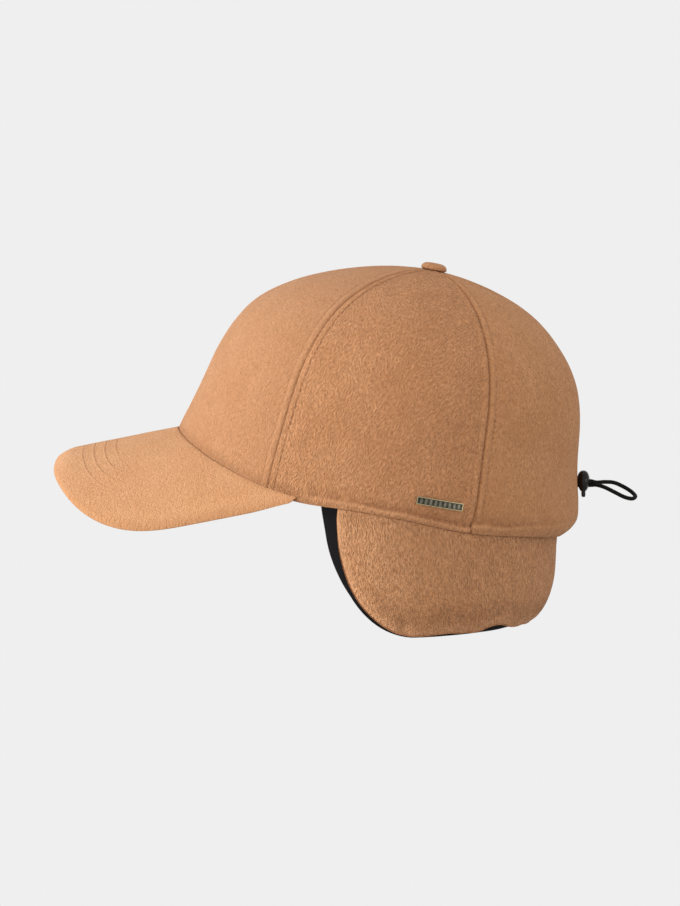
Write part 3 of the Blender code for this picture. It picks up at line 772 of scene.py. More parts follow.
def metal_material(name, dark, light, roughness):
    """Worn metal, darker and lighter in fine spots."""
    material, tree, shader = principled(name, roughness, metallic=1.0)
    wear = noise(tree, node(tree, "ShaderNodeTexCoord").outputs["Object"], 700.0, 4.0, 0.65)
    color = blend_colors(tree, spread(tree, wear, 0.35, 0.65), dark, light)
    finish_material(tree, shader, color, wear, 0.2, 0.0001)
    return material


def elastic_material(name, color):
    """Round braided elastic: crossing strands along the cord."""
    material, tree, shader = principled(name, 0.6, specular=0.08)
    u, v = split(tree, "cloth")
    turns = 2 * math.pi * BRAID_STRANDS
    right = calc(tree, "SINE", times(tree, plus(tree, u, v), turns))
    left = calc(tree, "SINE", times(tree, minus(tree, u, v), turns))
    braid = times(tree, right, left)
    color_here = blend_colors(tree, spread(tree, braid, -1.0, 1.0), scaled(color, 0.6), scaled(color, 1.5))
    finish_material(tree, shader, color_here, braid, 0.6, 0.00012)
    return material


# Crown panels


def panel_grid(start, end):
    """A panel's columns as shares of its width, and each point's angle, row and height above the edge."""
    share = np.linspace(0, 1, PANEL_COLUMNS + 1)
    share = share - SEAM_CROWDING * np.sin(2 * math.pi * share) / (2 * math.pi)
    angles = start + (end - start) * share
    steps = np.arange(HEM_EDGE_ROUNDING + HEM_STEP, 2 * HEM_HEIGHT, HEM_STEP)
    heights = np.concatenate([edge_steps(HEM_EDGE_ROUNDING, 7), steps])
    rim = rim_height(angles)
    low_rows = np.stack([row_at_height(angles, rim + height) for height in heights])
    mouth = CROWN_MOUTH / RIM_SIDE / CROWN_PROFILE[-2][2]
    middle = crown_surface(np.mean(angles), np.linspace(low_rows[-1].mean(), TOP_ROW, 200))
    count = int(travelled(middle[:, None], 0)[-1, 0] / PANEL_STEP)
    up = np.linspace(0, 1, count + 1)[1:, None]
    high_rows = low_rows[-1] + (TOP_ROW - mouth - low_rows[-1]) * up
    rows = np.concatenate([low_rows, high_rows])
    angle = np.broadcast_to(angles, rows.shape)
    above = crown_surface(angle, rows) @ RIM_LEVEL - rim
    above[: len(heights)] = heights[:, None]
    return share, angle, rows, above


def panel_piece(title, start, end, sign, seam_strengths, stitch_strengths, material, seed):
    """One crown panel, closed all round, with its seams, stitching and rolled hem."""
    share, angle, rows, above = panel_grid(start, end)
    seam_strength = np.interp(share, SEAM_CHANGE, seam_strengths)
    stitch_strength = np.interp(share, SEAM_CHANGE, stitch_strengths)
    base = crown_surface(angle, rows)
    normal = crown_normal(angle, rows)
    along = travelled(base, 1)
    up_run = travelled(base, 0)
    width = along[:, -1:]
    seam_distance = np.minimum(along, width - along)
    scale = np.minimum(1.0, width / SEAM_FULL_WIDTH)
    hem_fade = ease((np.abs(angle) - PEAK_END_ANGLE + HEM_FADE_AHEAD) / HEM_FADE)
    near_hem = bump(np.maximum(0, above - 0.5 * HEM_HEIGHT), 0.6 * HEM_HEIGHT) * hem_fade
    drop = hem_drop(angle)
    base[..., 2] -= drop * np.maximum(0.0, 1 - above / (2 * HEM_HEIGHT)) ** 2

    puff = bump(seam_distance - SEAM_PUFF_PLACE, SEAM_PUFF_WIDTH)
    line = bump(seam_distance - STITCH_OFFSET, STITCH_WIDTH)
    uneven = 1 + dents(base, UNEVENNESS, seed)
    lift = SEAM_PUFF * puff * uneven - SEAM_DEPTH * bump(seam_distance, SEAM_WIDTH)
    lift = (lift - STITCH_DEPTH * line * (1 - near_hem)) * scale * seam_strength
    crease_place, crease_depth = (np.interp(angle, HEM_CREASES[:, 0], HEM_CREASES[:, c]) for c in (1, 2))
    past = above - (crease_place - drop / 2 + dents(base, CREASE_WANDER, seed + 1))
    to_back = crease_depth / np.max(HEM_CREASES[:, 2])
    sink = ease(past / HEM_CREASE_WIDTH + 0.5) * np.exp(-np.maximum(past, 0) / HEM_CREASE_FADE)
    roll = bump(past + HEM_ROLL_PLACE, HEM_ROLL_WIDTH) * to_back
    retreat = HEM_RETREAT * np.maximum(0.0, 1 - above / (0.6 * HEM_HEIGHT)) ** 2
    lift = lift + (HEM_PUFF * roll - crease_depth * sink * uneven - retreat) * hem_fade
    ripples = dents(base, CROWN_RIPPLES, 4) * ease(seam_distance / RIPPLE_FADE)
    at_root = bump(above - 0.004, 0.006) * (1 - hem_fade)
    lift = lift + (dents(base, CROWN_DENTS, 3) + ripples) * (1 - at_root)
    rounding = edge_rounding(CROWN_WALL, above, HEM_EDGE_ROUNDING)
    roll_in = roll_inward(angle, np.maximum(above, 0))
    outer = base + normal * (lift - HEM_EDGE_SOFTNESS * rounding - roll_in)[..., None]
    inner_inset = (CROWN_WALL - rounding) * roll_stretch(angle, np.maximum(above, 0)) + roll_in
    inner = base - normal * inner_inset[..., None]

    middle = np.radians(angle - (start + end) / 2)
    cloth = np.stack([middle * width / np.radians(end - start) + UV_SHIFT * seed, up_run], -1)
    stitch = np.stack([(seam_distance - STITCH_OFFSET) / ROW_PITCH, up_run], -1)
    # How strongly the painted shade shows here, uneven over the panel
    worn_and_shaded = np.clip(SHADE_STRENGTH_MEAN + dents(base, SHADE_UNEVENNESS, seed + 2), 0, 1)
    # Painted shade as red: along the seams, above the hem's crease and along the peak's root
    seam = bump(seam_distance, SEAM_WIDTH * SEAM_SHADE_SPREAD) * SEAM_SHADE * seam_strength * worn_and_shaded
    above_crease = past - CREASE_SHADE_START
    into_crease = np.maximum(above_crease, 0) + CREASE_SHADE_STEEPNESS * np.maximum(-above_crease, 0)
    crease = bump(into_crease, CREASE_SHADE_WIDTH) * to_back * hem_fade * CREASE_SHADE * worn_and_shaded
    root = above - peak_thickness(np.clip(angle / PEAK_END_ANGLE, -1, 1))
    past_end = angle - PEAK_END_ANGLE
    before, rise, fall = PEAK_LINE_END
    at_end = ease((past_end + before) / rise) * (1 - ease(past_end / fall))
    shade_at_peak = bump(root - PEAK_LINE_PLACE, PEAK_LINE_WIDTHS[0] - PEAK_LINE_WIDTHS[1] * at_end)
    shades = (1 - hem_fade) * PEAK_LINE_SHADES[0], PEAK_LINE_SHADES[1] * at_end
    shade_at_peak = shade_at_peak * np.maximum(*shades)
    red = np.maximum(np.maximum(seam, crease), shade_at_peak)
    # Sunken stitches as green: they sink the relief and get painted shade
    green = bump(seam_distance - STITCH_OFFSET, STITCH_SHADE_WIDTH) * scale * stitch_strength
    green = green * (1 - near_hem) * worn_and_shaded
    # Painted highlight as blue: on the hem's ridge and on the puffs beside the seams
    strength, place, spread_below = HEM_RIDGE
    blue = strength * bump(past + place, spread_below) * to_back * hem_fade
    blue = blue + SEAM_RIDGE * puff * seam_strength
    marks = np.stack([red, green, blue], -1)
    if sign < 0:
        outer, inner = (grid[:, ::-1] * (-1, 1, 1) for grid in (outer, inner))
        cloth, stitch, marks = (grid[:, ::-1] for grid in (cloth, stitch, marks))
    mesh = solid_between(title, outer, inner, cloth, stitch, marks)
    return add_piece(title + "_cloth", mesh, material, "cap", [title])


def make_crown(materials):
    """Both sides' panels. Each has the strength of its seams and stitching at its front and its back."""
    seed = 10
    for (name, seams, stitches), start, end in zip(PANELS, SEAM_ANGLES, SEAM_ANGLES[1:]):
        for side, sign in (("left", 1), ("right", -1)):
            title = f"crown_panel_{name}_{side}"
            panel_piece(title, start, end, sign, seams, stitches, materials[name], seed)
            seed += 3


# Peak


def peak_edge(across):
    """Plan points of the peak's outer edge; across runs from -1 to 1."""
    end = crown_surface(np.array([PEAK_END_ANGLE]), np.array([0.0]))[0]
    end_x, end_y = end[0] + PEAK_END_WIDTH, end[1]
    tip_y = -RIM_FRONT - PEAK_REACH
    side_length = end_y - tip_y - PEAK_ROUND_LENGTH
    round_share = 1 - side_length / (side_length + PEAK_ROUND_WEIGHT * PEAK_ROUND_LENGTH)
    turn = math.pi / 2 * np.minimum(np.abs(across) / round_share, 1.0)
    power = 2 / PEAK_SQUARENESS
    x = PEAK_HALF_WIDTH * np.sin(turn) ** power
    y = tip_y + PEAK_ROUND_LENGTH * (1 - np.maximum(0.0, np.cos(turn)) ** power)
    share = np.clip((np.abs(across) - round_share) / (1 - round_share), 0, 1)
    x = np.where(share > 0, PEAK_HALF_WIDTH + (end_x - PEAK_HALF_WIDTH) * share, x)
    y = np.where(share > 0, tip_y + PEAK_ROUND_LENGTH + side_length * share, y)
    return np.stack([np.sign(across) * x, y], -1)


def even_along(points, count):
    """The same line through plan points, with evenly spaced ones."""
    run = travelled(points[:, None], 0)[:, 0]
    places = np.linspace(0, run[-1], count)
    return np.stack([np.interp(places, run, points[:, axis]) for axis in range(points.shape[1])], -1)


def line_distance(points, line):
    """Distance of plan points from a line of straight pieces."""
    nearest = np.full(points.shape[:-1], np.inf)
    for start, end in zip(line[:-1], line[1:]):
        step = end - start
        share = np.clip((points - start) @ step / (step @ step), 0, 1)
        gap = points - start - share[..., None] * step
        nearest = np.minimum(nearest, np.hypot(gap[..., 0], gap[..., 1]))
    return nearest


def make_peak(material):
    """The peak: two faces from the crown to the outer edge, with the rows of stitching on top."""
    fine = np.linspace(-1, 1, 4001)
    outline = peak_edge(fine)
    run = travelled(outline[:, None], 0)[:, 0]
    across = np.interp(np.linspace(0, run[-1], PEAK_COLUMNS + 1), run, fine)
    angle = across * PEAK_END_ANGLE
    top_row = peak_row(angle)
    low_row = row_at_height(angle, rim_height(angle))
    edge = peak_edge(across)
    edge_rows = 1 - edge_steps(0.062, 10)[::-1]
    rows = np.concatenate([np.linspace(0, 0.93, 64), edge_rows])[:, None, None]
    top_root = crown_surface(angle, top_row)[:, :2]
    tuck = 0.85 * ease((np.abs(across) - 1 + PEAK_END_TUCK) / PEAK_END_TUCK)
    edge = edge + (top_root - edge) * tuck[:, None]
    thickness = peak_thickness(across) * (1 - 0.75 * ease((np.abs(across) - 0.86) / 0.14))
    border = even_along(outline, 500)
    grids = []
    for place, sign in ((top_row, 1.0), (low_row, -1.0)):
        root = crown_surface(angle, place) + crown_normal(angle, place) * (GAP * 0.1)
        plan = root[:, :2] + (edge - root[:, :2]) * rows
        nearest = line_distance(plan, border)
        inside = np.clip(nearest / (thickness / 2 * 1.15), 0, 1)
        half = thickness / 2 * np.sqrt(1 - (1 - inside) ** 2)
        height = peak_top(plan[..., 0], plan[..., 1]) - thickness / 2 + sign * half
        grid = np.concatenate([plan, height[..., None]], -1)
        relief = dents(grid, PEAK_RIPPLES, 7) + dents(grid, PEAK_DENTS, 8)
        grid[..., 2] += relief * ease(nearest / 0.014)
        sides = np.abs(plan[..., 0])
        at_tip = 1 - ease((sides - PEAK_BEND_SIDES[0]) / PEAK_BEND_SIDES[1])
        grid[..., 2] -= PEAK_TIP_DROP * np.maximum(0.0, 1 - nearest / PEAK_TIP_BEND) ** 2 * at_tip
        grids.append((grid, nearest, sides))
    grid, nearest, sides = grids[0]
    row = (nearest - PEAK_ROWS_FROM_EDGE) / ROW_PITCH
    shown = ease((row + 0.5) * 4) * ease((PEAK_ROW_COUNT - 0.5 - row) * 4)
    from_middle = (sides - PEAK_ROWS_FADE[0]) / (PEAK_ROWS_FADE[1] - PEAK_ROWS_FADE[0])
    shown = shown * (1 - 0.97 * ease(from_middle))
    behind_tip = grid[..., 1] + RIM_FRONT + PEAK_REACH
    shown = shown * (1 - ease((behind_tip - PEAK_ROWS_BACK[0]) / PEAK_ROWS_BACK[1]))
    along = travelled(grid, 1)
    along = along - along[:, PEAK_COLUMNS // 2][:, None]
    stitch = np.stack([row, along], -1)
    # Painted shade at the peak's root and along its edge, sunken stitches, and a painted highlight on a band
    # inside the edge
    at_root = PEAK_ROOT_SHADE[0] * bump(travelled(grid, 0), PEAK_ROOT_SHADE[1])
    red = np.maximum(at_root, PEAK_EDGE_SHADE[0] * bump(nearest, PEAK_EDGE_SHADE[1]))
    strength, place, width = PEAK_EDGE_RIDGE
    marks = np.stack([red, PEAK_STITCHES * shown, strength * bump(nearest - place, width)], -1)
    mesh = solid_between("peak", grid, grids[1][0], grid[..., :2], stitch, marks)
    return add_piece("peak_cloth", mesh, material, "cap", ["peak"])


# Ear and neck flap with its lining


def flap_hem_level(angle):
    share = ease((np.abs(angle) - FLAP_EAR_ANGLE) / (180 - FLAP_EAR_ANGLE))
    return FLAP_EAR_DROP + (FLAP_BACK_DROP - FLAP_EAR_DROP) * share


def flap_face(angle, depth, inset):
    """Points of the flap's outer face, at a depth below the rim; above it, inside the crown."""
    wall = CROWN_WALL + GAP
    tucked = np.maximum(-depth, 0.0)
    above = crown_face(angle, tucked, (wall + inset) * roll_stretch(angle, tucked))
    stretch = roll_stretch(angle, np.zeros_like(angle))
    top = crown_face(angle, np.zeros_like(angle), wall * stretch)
    below = np.maximum(depth, 0.0)
    inset = inset * (1 + (stretch - 1) * np.maximum(0.0, 1 - below / HEM_HEIGHT))
    outward = unit(crown_normal(angle, np.zeros_like(angle)) * (1, 1, 0))
    back = ease((np.abs(angle) - FLAP_CURL_ANGLE) / (180 - FLAP_CURL_ANGLE))
    curl = FLAP_EAR_CURL + (FLAP_BACK_CURL - FLAP_EAR_CURL) * back
    length = top[..., 2] + flap_hem_level(angle)
    share = below / length
    slope = FLAP_CURL_POWER * curl * share ** (FLAP_CURL_POWER - 1) / length
    normal = unit(outward - slope[..., None] * (0, 0, 1))
    point = top - outward * (curl * share**FLAP_CURL_POWER)[..., None]
    point[..., 2] -= below
    point = point - normal * inset[..., None]
    return np.where((depth <= 0)[..., None], above, point)


def both_sides(grid, factors=(1,)):
    """A grid from the front to the back, joined there to its mirror image."""
    return np.concatenate([grid, grid[:, -2::-1] * factors], 1)


def flap_piece(title, worn_and_shaded, margin, drop, inset, wall, material, seed):
    """A band from ear to ear round the back. The worn wool also puffs, folds and rolls at its edges, and
    gets painted shade under the crown's rim and above its hem and a painted highlight on its edges.
    """
    around = (RIM_FRONT + RIM_BACK + 2 * RIM_SIDE) / 4
    turn = np.linspace(0, math.pi / 2, FLAP_CORNER_COLUMNS)
    half = math.radians(180 - FLAP_START_ANGLE) * around
    rest = np.arange(FLAP_CORNER_WIDTH + FLAP_STEP, half, FLAP_STEP)
    from_front = np.concatenate([FLAP_CORNER_WIDTH * (1 - np.cos(turn)), rest, [half]])
    angle = FLAP_START_ANGLE + np.degrees(from_front / around)
    corner = np.maximum(0.0, 1 - from_front / FLAP_CORNER_WIDTH)
    rise = FLAP_CORNER_HEIGHT * (1 - np.sqrt(1 - corner**2))
    if worn_and_shaded:
        rise = rise + sum_of_bumps(FLAP_NOTCHES, angle)
        rise = rise + FLAP_CORNER_RISE * bump(from_front - FLAP_CORNER_RISE_PLACE, FLAP_CORNER_RISE_SPREAD)
    bottom = crown_face(angle, 0.0, CROWN_WALL + GAP)[..., 2] + flap_hem_level(angle) - rise + drop

    tuck = np.linspace(-FLAP_TUCK_IN, -FLAP_FINE_DEPTH / 3, 4)[:-1]
    fixed = np.concatenate([tuck, np.arange(-FLAP_FINE_DEPTH / 3, FLAP_FINE_DEPTH, FLAP_FINE_STEP)])
    share = np.concatenate([np.linspace(0, 0.93, 70), 1 - edge_steps(0.065, 9)[::-1]])[:, None]
    near = np.broadcast_to(fixed[:, None], (len(fixed), len(angle)))
    depth = np.concatenate([near, FLAP_FINE_DEPTH + share * (bottom - FLAP_FINE_DEPTH)])
    hang = ease(depth / FLAP_HANG)
    slope = np.gradient(bottom, from_front + np.arange(len(angle)) * 1e-9)
    to_hem = (bottom - depth) / np.sqrt(1 + slope**2)
    border = np.minimum(to_hem, from_front)

    forward = margin * np.maximum(LINING_LEAST, 1 - np.maximum(0.0, depth) / FLAP_CORNER_HEIGHT)
    if worn_and_shaded:
        forward = -FLAP_SET_BACK * bump(depth - FLAP_SET_BACK_DEPTH, FLAP_SET_BACK_SPREAD)
    turn_in = FLAP_FRONT_CURL * np.maximum(0.0, 1 - from_front / FLAP_FRONT_CURL_WIDTH) ** 2 * hang
    turned = angle - np.degrees((forward * corner + 0.3 * turn_in) / around)
    base = flap_face(turned, depth, np.zeros_like(depth))
    soft = (dents(base, FLAP_DENTS, seed) + dents(base, FLAP_RIPPLES, seed + 1)) * hang
    rounding = edge_rounding(wall, border, wall / 2)
    inset = inset + turn_in
    near_edge = fall = under = np.zeros_like(depth)
    if worn_and_shaded:
        below = depth - hem_drop(turned)
        puff = ease((below + FLAP_PUFF_START) / FLAP_PUFF_RISE)
        puff = puff * bump(np.maximum(0, below), FLAP_TOP_PUFF_REACH)
        puff = puff * (1 - FLAP_PUFF_LOSS * ease((turned - FLAP_PUFF_BACK[0]) / FLAP_PUFF_BACK[1]))
        soft = soft + FLAP_TOP_PUFF * puff - sum_of_bumps(FLAP_FOLDS, turned) * bump(to_hem, FLAP_FOLD_REACH)
        near_edge = 1 - np.clip(border / FLAP_EDGE_ROUNDING, 0, 1)
        fall = FLAP_EDGE_ROUNDING * 0.28 * near_edge**2
        # Painted shade on the flap under the crown's rim and in a band above its hem
        at_ear, more, reach = FLAP_TOP_SHADE
        to_back = ease((turned - FLAP_TOP_SHADE_BACK[0]) / FLAP_TOP_SHADE_BACK[1])
        under_rim = bump(np.maximum(below, 0), reach) * (at_ear + more * to_back)
        strength, place, width = FLAP_HEM_SHADE
        at_hem = strength * bump(to_hem - place, width) * ease(from_front / FLAP_HEM_SHADE_FADE)
        under = np.maximum(under_rim, at_hem)
    outer = both_sides(flap_face(turned, depth, inset + rounding + fall - soft), (-1, 1, 1))
    inner = both_sides(flap_face(turned, depth, inset + wall - rounding - soft * 0.6), (-1, 1, 1))
    run = np.radians(turned) * around
    cloth = np.stack([run + UV_SHIFT * seed, depth], -1)
    stitch = np.stack([np.full_like(run, 0.5), run], -1)
    # Red is the painted shade; blue is the painted highlight on the rounded edges
    marks = np.stack([under, np.zeros_like(run), FLAP_EDGE_HIGHLIGHT * near_edge], -1)
    maps = (both_sides(grid)[:, ::-1] for grid in (cloth, stitch, marks))
    mesh = solid_between(title, outer[:, ::-1], inner[:, ::-1], *maps)
    piece = add_piece(title + "_cloth", mesh, material, "cap", [title])
    size = float(travelled(outer, 1)[:, -1].max()), float(travelled(outer, 0)[-1].max())
    across = np.cross(outer[1:, 1:] - outer[:-1, :-1], outer[1:, :-1] - outer[:-1, 1:])
    return piece, size, float(np.linalg.norm(across, axis=-1).sum() / 2)


# Small pieces


def make_button(material):
    """A cloth-covered button with a soft rim and the crown's tilt."""
    radius = BUTTON_DIAMETER / 2
    rows, columns = 26, 72
    turn = math.pi / 2 - math.pi * np.linspace(0, 1, rows)
    out = radius * np.maximum(0.0, np.cos(turn)) ** BUTTON_ROUNDNESS
    height = np.where(turn > 0, BUTTON_HEIGHT, BUTTON_UNDERSIDE) * np.sin(turn) + BUTTON_UNDERSIDE
    around = np.radians(np.linspace(0, 360, columns + 1))[:-1]
    side = out[:, None] * np.cos(around)
    local = np.stack([side, out[:, None] * np.sin(around), np.broadcast_to(height[:, None], side.shape)], -1)
    local = local.reshape(-1, 3)
    local = local + local * (dents(local, BUTTON_DENTS, 5) / radius)[:, None]
    points = tilted(local[:, 0], local[:, 1] + APEX_BACK, local[:, 2] + CROWN_HEIGHT - 2 * GAP)
    mesh = new_mesh("top_button", points, ring_quads(rows, columns))
    add_map(mesh, "cloth", local[:, :2])
    add_map(mesh, "stitch", np.full((len(local), 2), 0.5))
    # Painted shade on the button's underside, as red
    strength, place, fade = BUTTON_SHADE
    underside = strength * (1 - ease((local[:, 2] - place) / fade))
    unmarked = np.zeros_like(underside)
    add_marks(mesh, np.stack([underside, unmarked, unmarked], -1))
    mesh.shade_smooth()
    return add_piece("top_button_cloth", mesh, material, "cap", ["top_button"])


def badge_bar(ends, sides, lifts, chamfer):
    """Points and faces of a bar of the badge that follows the crown, with its upper edges cut off."""
    one_degree = crown_face(BADGE_ANGLE + 1, BADGE_HEIGHT) - crown_face(BADGE_ANGLE, BADGE_HEIGHT)
    per_degree = float(np.linalg.norm(one_degree))
    section = (
        (sides[0], lifts[0]),
        (sides[0], lifts[1] - chamfer),
        (sides[0] + chamfer, lifts[1]),
        (sides[1] - chamfer, lifts[1]),
        (sides[1], lifts[1] - chamfer),
        (sides[1], lifts[0]),
    )
    count = max(2, int(abs(ends[1] - ends[0]) / BADGE_STEP) + 2)
    points = []
    for along in np.linspace(ends[0], ends[1], count):
        for height, lift in section:
            points.append(crown_face(BADGE_ANGLE + along / per_degree, BADGE_HEIGHT + height, -GAP - lift))
    size = len(section)
    faces = [face[::-1] for face in ring_quads(count, size)]
    faces.append(tuple(range(size)))
    faces.append(tuple((count - 1) * size + c for c in reversed(range(size))))
    return points, faces


def make_badge(materials):
    """A framed bar with even raised ribs. The materials are the field's, the frame's and the ribs'."""
    half, side, frame = BADGE_LENGTH / 2, BADGE_WIDTH / 2, BADGE_FRAME
    floor = BADGE_THICKNESS - BADGE_RECESS
    raised = (floor, BADGE_THICKNESS)
    bars = [
        # ends, sides, lifts, chamfer, material
        ((-half, half), (-side, side), (0.0, floor), BADGE_FLOOR_CHAMFER, 0),
        ((-half, half), (-side, -side + frame), raised, BADGE_CHAMFER, 1),
        ((-half, half), (side - frame, side), raised, BADGE_CHAMFER, 1),
        ((-half, frame - half), (-side + frame, side - frame), raised, BADGE_CHAMFER, 1),
        ((half - frame, half), (-side + frame, side - frame), raised, BADGE_CHAMFER, 1),
    ]
    pitch = (BADGE_LENGTH - 2 * frame) / (2 * BADGE_RIBS + 1)
    inner = side - 1.8 * frame
    for rib in range(BADGE_RIBS):
        first = -half + frame + pitch * (2 * rib + 1)
        lifts = (floor, floor + BADGE_RIB_HEIGHT)
        bars.append(((first, first + pitch), (-inner, inner), lifts, BADGE_CHAMFER, 2))
    points, faces, slots = [], [], []
    for ends, sides, lifts, chamfer, slot in bars:
        more_points, more_faces = badge_bar(ends, sides, lifts, chamfer)
        faces += [tuple(number + len(points) for number in face) for face in more_faces]
        slots += [slot] * len(more_faces)
        points += more_points
    mesh = new_mesh("side_badge", points, faces)
    mesh.polygons.foreach_set("material_index", slots)
    for material in materials:
        mesh.materials.append(material)
    return add_piece("side_badge_metal", mesh, None, "cap", ["side_badge"])


def cord_route():
    """The cord's middle line, from the back seam round the loop and in again."""
    side, back, height = CORD_ROUTE[:, :3].T / 1000
    up = CORD_LEVEL + height + CORD_ROUTE[:, 3] * STRAND_SPACING / 2
    return np.stack([side, back_face(CORD_LEVEL) + back, up], -1)


def tube(name, path, diameter, sides):
    """A closed tube along a path, with UVs that count its turns and its diameters."""
    tangent = unit(np.gradient(path, axis=0))
    frame = np.cross(tangent[0], (1.0, 0.0, 0.0))
    frames = []
    for direction in tangent:
        frame = unit(frame - direction * (frame @ direction))
        frames.append(frame)
    frames = np.array(frames)
    others = np.cross(tangent, frames)
    turn = 2 * math.pi * np.arange(sides) / sides
    ring = frames[:, None] * np.cos(turn)[:, None] + others[:, None] * np.sin(turn)[:, None]
    points = path[:, None] + ring * diameter / 2
    faces = ring_quads(len(path), sides)
    faces.append(tuple(reversed(range(sides))))
    faces.append(tuple((len(path) - 1) * sides + c for c in range(sides)))
    mesh = new_mesh(name, points.reshape(-1, 3), faces)
    layer = mesh.uv_layers.new(name="cloth")
    run = travelled(path[:, None], 0)[:, 0] / (diameter * math.pi)
    for face in mesh.polygons:
        for loop in face.loop_indices:
            vertex = mesh.loops[loop].vertex_index
            r, c = divmod(vertex, sides)
            closes = c == 0 and len(face.vertices) == 4 and face.vertices[1] % sides == 0
            turned = 1.0 if closes else c / sides
            layer.data[loop].uv = (turned, run[r])
    mesh.shade_smooth()
    return mesh


def make_cord(material):
    route = cord_route()
    places = np.linspace(0, len(route) - 1, 12 * (len(route) - 1) + 1)
    path = even_along(smooth_through(route, places), 150)
    length = float(travelled(path[:, None], 0)[-1, 0])
    mesh = tube("drawcord", path, CORD_DIAMETER, 14)
    cord = add_piece("drawcord_elastic", mesh, material, "cap", ["drawcord"])
    return cord, path, length


def rounded_block(size, squareness, rows, columns):
    """Points and faces of a soft-cornered block about the origin."""
    across = np.linspace(-math.pi / 2, math.pi / 2, rows)[:, None]
    around = (2 * math.pi * np.arange(columns) / columns)[None, :]

    def power(value, exponent):
        return np.sign(value) * np.abs(value) ** exponent

    x = power(np.cos(across), squareness) * power(np.cos(around), squareness)
    y = power(np.cos(across), squareness) * power(np.sin(around), squareness)
    z = power(np.sin(across), squareness)
    points = np.stack(np.broadcast_arrays(x, y, z), -1) * np.array(size) / 2
    return points.reshape(-1, 3), ring_quads(rows, columns)


def make_lock(material):
    """The cord lock: a domed barrel on the strands, and its plunger."""
    middle_y = back_face(CORD_LEVEL) + 2 * GAP + LOCK_DEPTH / 2
    height = LOCK_TOP - LOCK_BOTTOM
    barrel, barrel_faces = rounded_block((LOCK_WIDTH, LOCK_DEPTH, height), LOCK_SQUARENESS, 28, 48)
    narrowest, wider, widest_at = LOCK_TAPER
    barrel[:, :2] *= narrowest + wider * ease((barrel[:, 2:] / height + 0.5) / widest_at)
    barrel = barrel + np.array((0.0, middle_y, (LOCK_TOP + LOCK_BOTTOM) / 2))
    size = (PLUNGER_WIDTH, PLUNGER_THICKNESS, PLUNGER_HEIGHT)
    tip, tip_faces = rounded_block(size, PLUNGER_SQUARENESS, 24, 40)
    tip = tip + np.array((0.0, middle_y, PLUNGER_TIP + PLUNGER_HEIGHT / 2))
    beside = ease((np.abs(tip[:, 0]) - PLUNGER_NOTCH_HALF) / PLUNGER_NOTCH_FADE)
    tip[:, 2] = np.minimum(tip[:, 2], PLUNGER_NOTCH + PLUNGER_HEIGHT * beside)
    pieces = []
    for solid, name, body, points, faces in (
        ("cord_lock_body", "cord_lock_barrel", "cap", barrel, barrel_faces),
        ("cord_lock_plunger", "cord_lock_tip", "plunger", tip, tip_faces),
    ):
        mesh = new_mesh(solid, points, faces)
        mesh.shade_smooth()
        pieces.append(add_piece(name, mesh, material, body, [solid]))
    return pieces


# Camera and light


def make_camera():
    camera = bpy.data.objects.new("photo_camera", bpy.data.cameras.new("photo_camera"))
    bpy.context.scene.collection.objects.link(camera)
    away = Vector((math.cos(CAMERA_ELEVATION), 0.0, math.sin(CAMERA_ELEVATION)))
    camera.location = Vector(CAMERA_TARGET) + away * CAMERA_DISTANCE
    camera.rotation_euler = (math.pi / 2 - CAMERA_ELEVATION, 0.0, math.pi / 2)
    camera.data.sensor_fit = "VERTICAL"
    camera.data.sensor_height = SENSOR_HEIGHT
    camera.data.lens = CAMERA_LENS
    camera.data.clip_start = 0.05
    bpy.context.scene.camera = camera


def add_light(name, place, size, power, color):
    data = bpy.data.lights.new(name, "AREA")
    data.shape = "DISK"
    data.size = size
    data.energy = power
    data.color = color
    light = bpy.data.objects.new(name, data)
    bpy.context.scene.collection.objects.link(light)
    light.location = place
    aim = Vector(CAMERA_TARGET) - Vector(place)
    light.rotation_euler = aim.to_track_quat("-Z", "Y").to_euler()


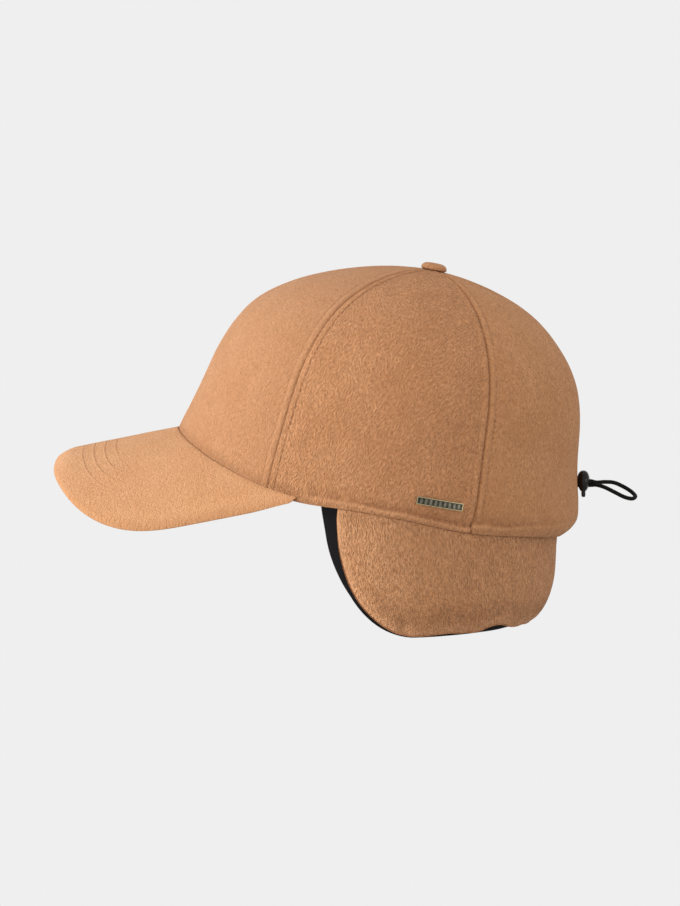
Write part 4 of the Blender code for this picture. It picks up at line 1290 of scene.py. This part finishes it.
def make_lights():
    add_light("front", (0.5, -1.7, 0.05), 0.7, 31.0, (0.93, 1.0, 1.05))
    add_light("side", (1.0, -1.35, 0.55), 0.7, 8.0, (0.98, 1.0, 1.0))
    add_light("top", (0.3, -0.3, 1.7), 0.7, 6.5, (0.98, 1.0, 1.0))
    add_light("back", (1.1, 1.3, 0.0), 0.7, 5.0, (1.0, 1.0, 1.0))
    world = bpy.data.worlds.new("studio")
    world.use_nodes = True
    tree = world.node_tree
    place = node(tree, "ShaderNodeTexCoord").outputs["Generated"]
    height = node(tree, "ShaderNodeSeparateXYZ", {"Vector": place}).outputs["Z"]
    floor = calc(tree, "MULTIPLY_ADD", spread(tree, height, -1.0, -0.25), 0.55, 0.45)
    paper = tree.nodes["Background"]
    paper.inputs["Color"].default_value = (0.863, 0.863, 0.863, 1.0)
    tree.links.new(floor, paper.inputs["Strength"])
    bpy.context.scene.world = world
    bpy.context.scene.view_settings.view_transform = "Standard"


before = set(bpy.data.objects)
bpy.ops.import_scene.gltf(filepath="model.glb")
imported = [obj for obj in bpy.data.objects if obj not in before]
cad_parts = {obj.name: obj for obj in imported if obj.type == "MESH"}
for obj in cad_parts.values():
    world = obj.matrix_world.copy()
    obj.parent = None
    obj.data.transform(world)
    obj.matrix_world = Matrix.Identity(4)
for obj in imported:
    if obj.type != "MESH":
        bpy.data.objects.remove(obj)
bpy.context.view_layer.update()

make_camera()
make_lights()

elastic = elastic_material("braided elastic", (0.006, 0.0055, 0.005))
cord, cord_path, cord_length = make_cord(elastic)
plastic = plastic_material("cord lock plastic", (0.009, 0.0065, 0.005), 0.2)
lock_body, lock_plunger = make_lock(plastic)

# Lit and shaded copies of one wool, one for each piece: painted light and shade
wools = {values[0]: wool_material(f"brushed wool {values[0]}", *values[1:]) for values in WOOLS}
knit = knit_material("black knit", (0.0070, 0.0059, 0.0061), 0.0009)
make_crown(wools)
make_peak(wools["peak"])
flap, flap_size, flap_area = flap_piece(
    "ear_neck_flap", True, 0.0, 0.0, 0.0, FLAP_WALL, wools["flap"], 40
)
lining, lining_size, lining_area = flap_piece(
    "flap_lining", False, LINING_MARGIN, LINING_DROP, FLAP_WALL + LAYER_GAP, LINING_WALL, knit, 50
)
make_button(wools["front"])
make_badge([metal_material(*values) for values in BADGE_METALS])
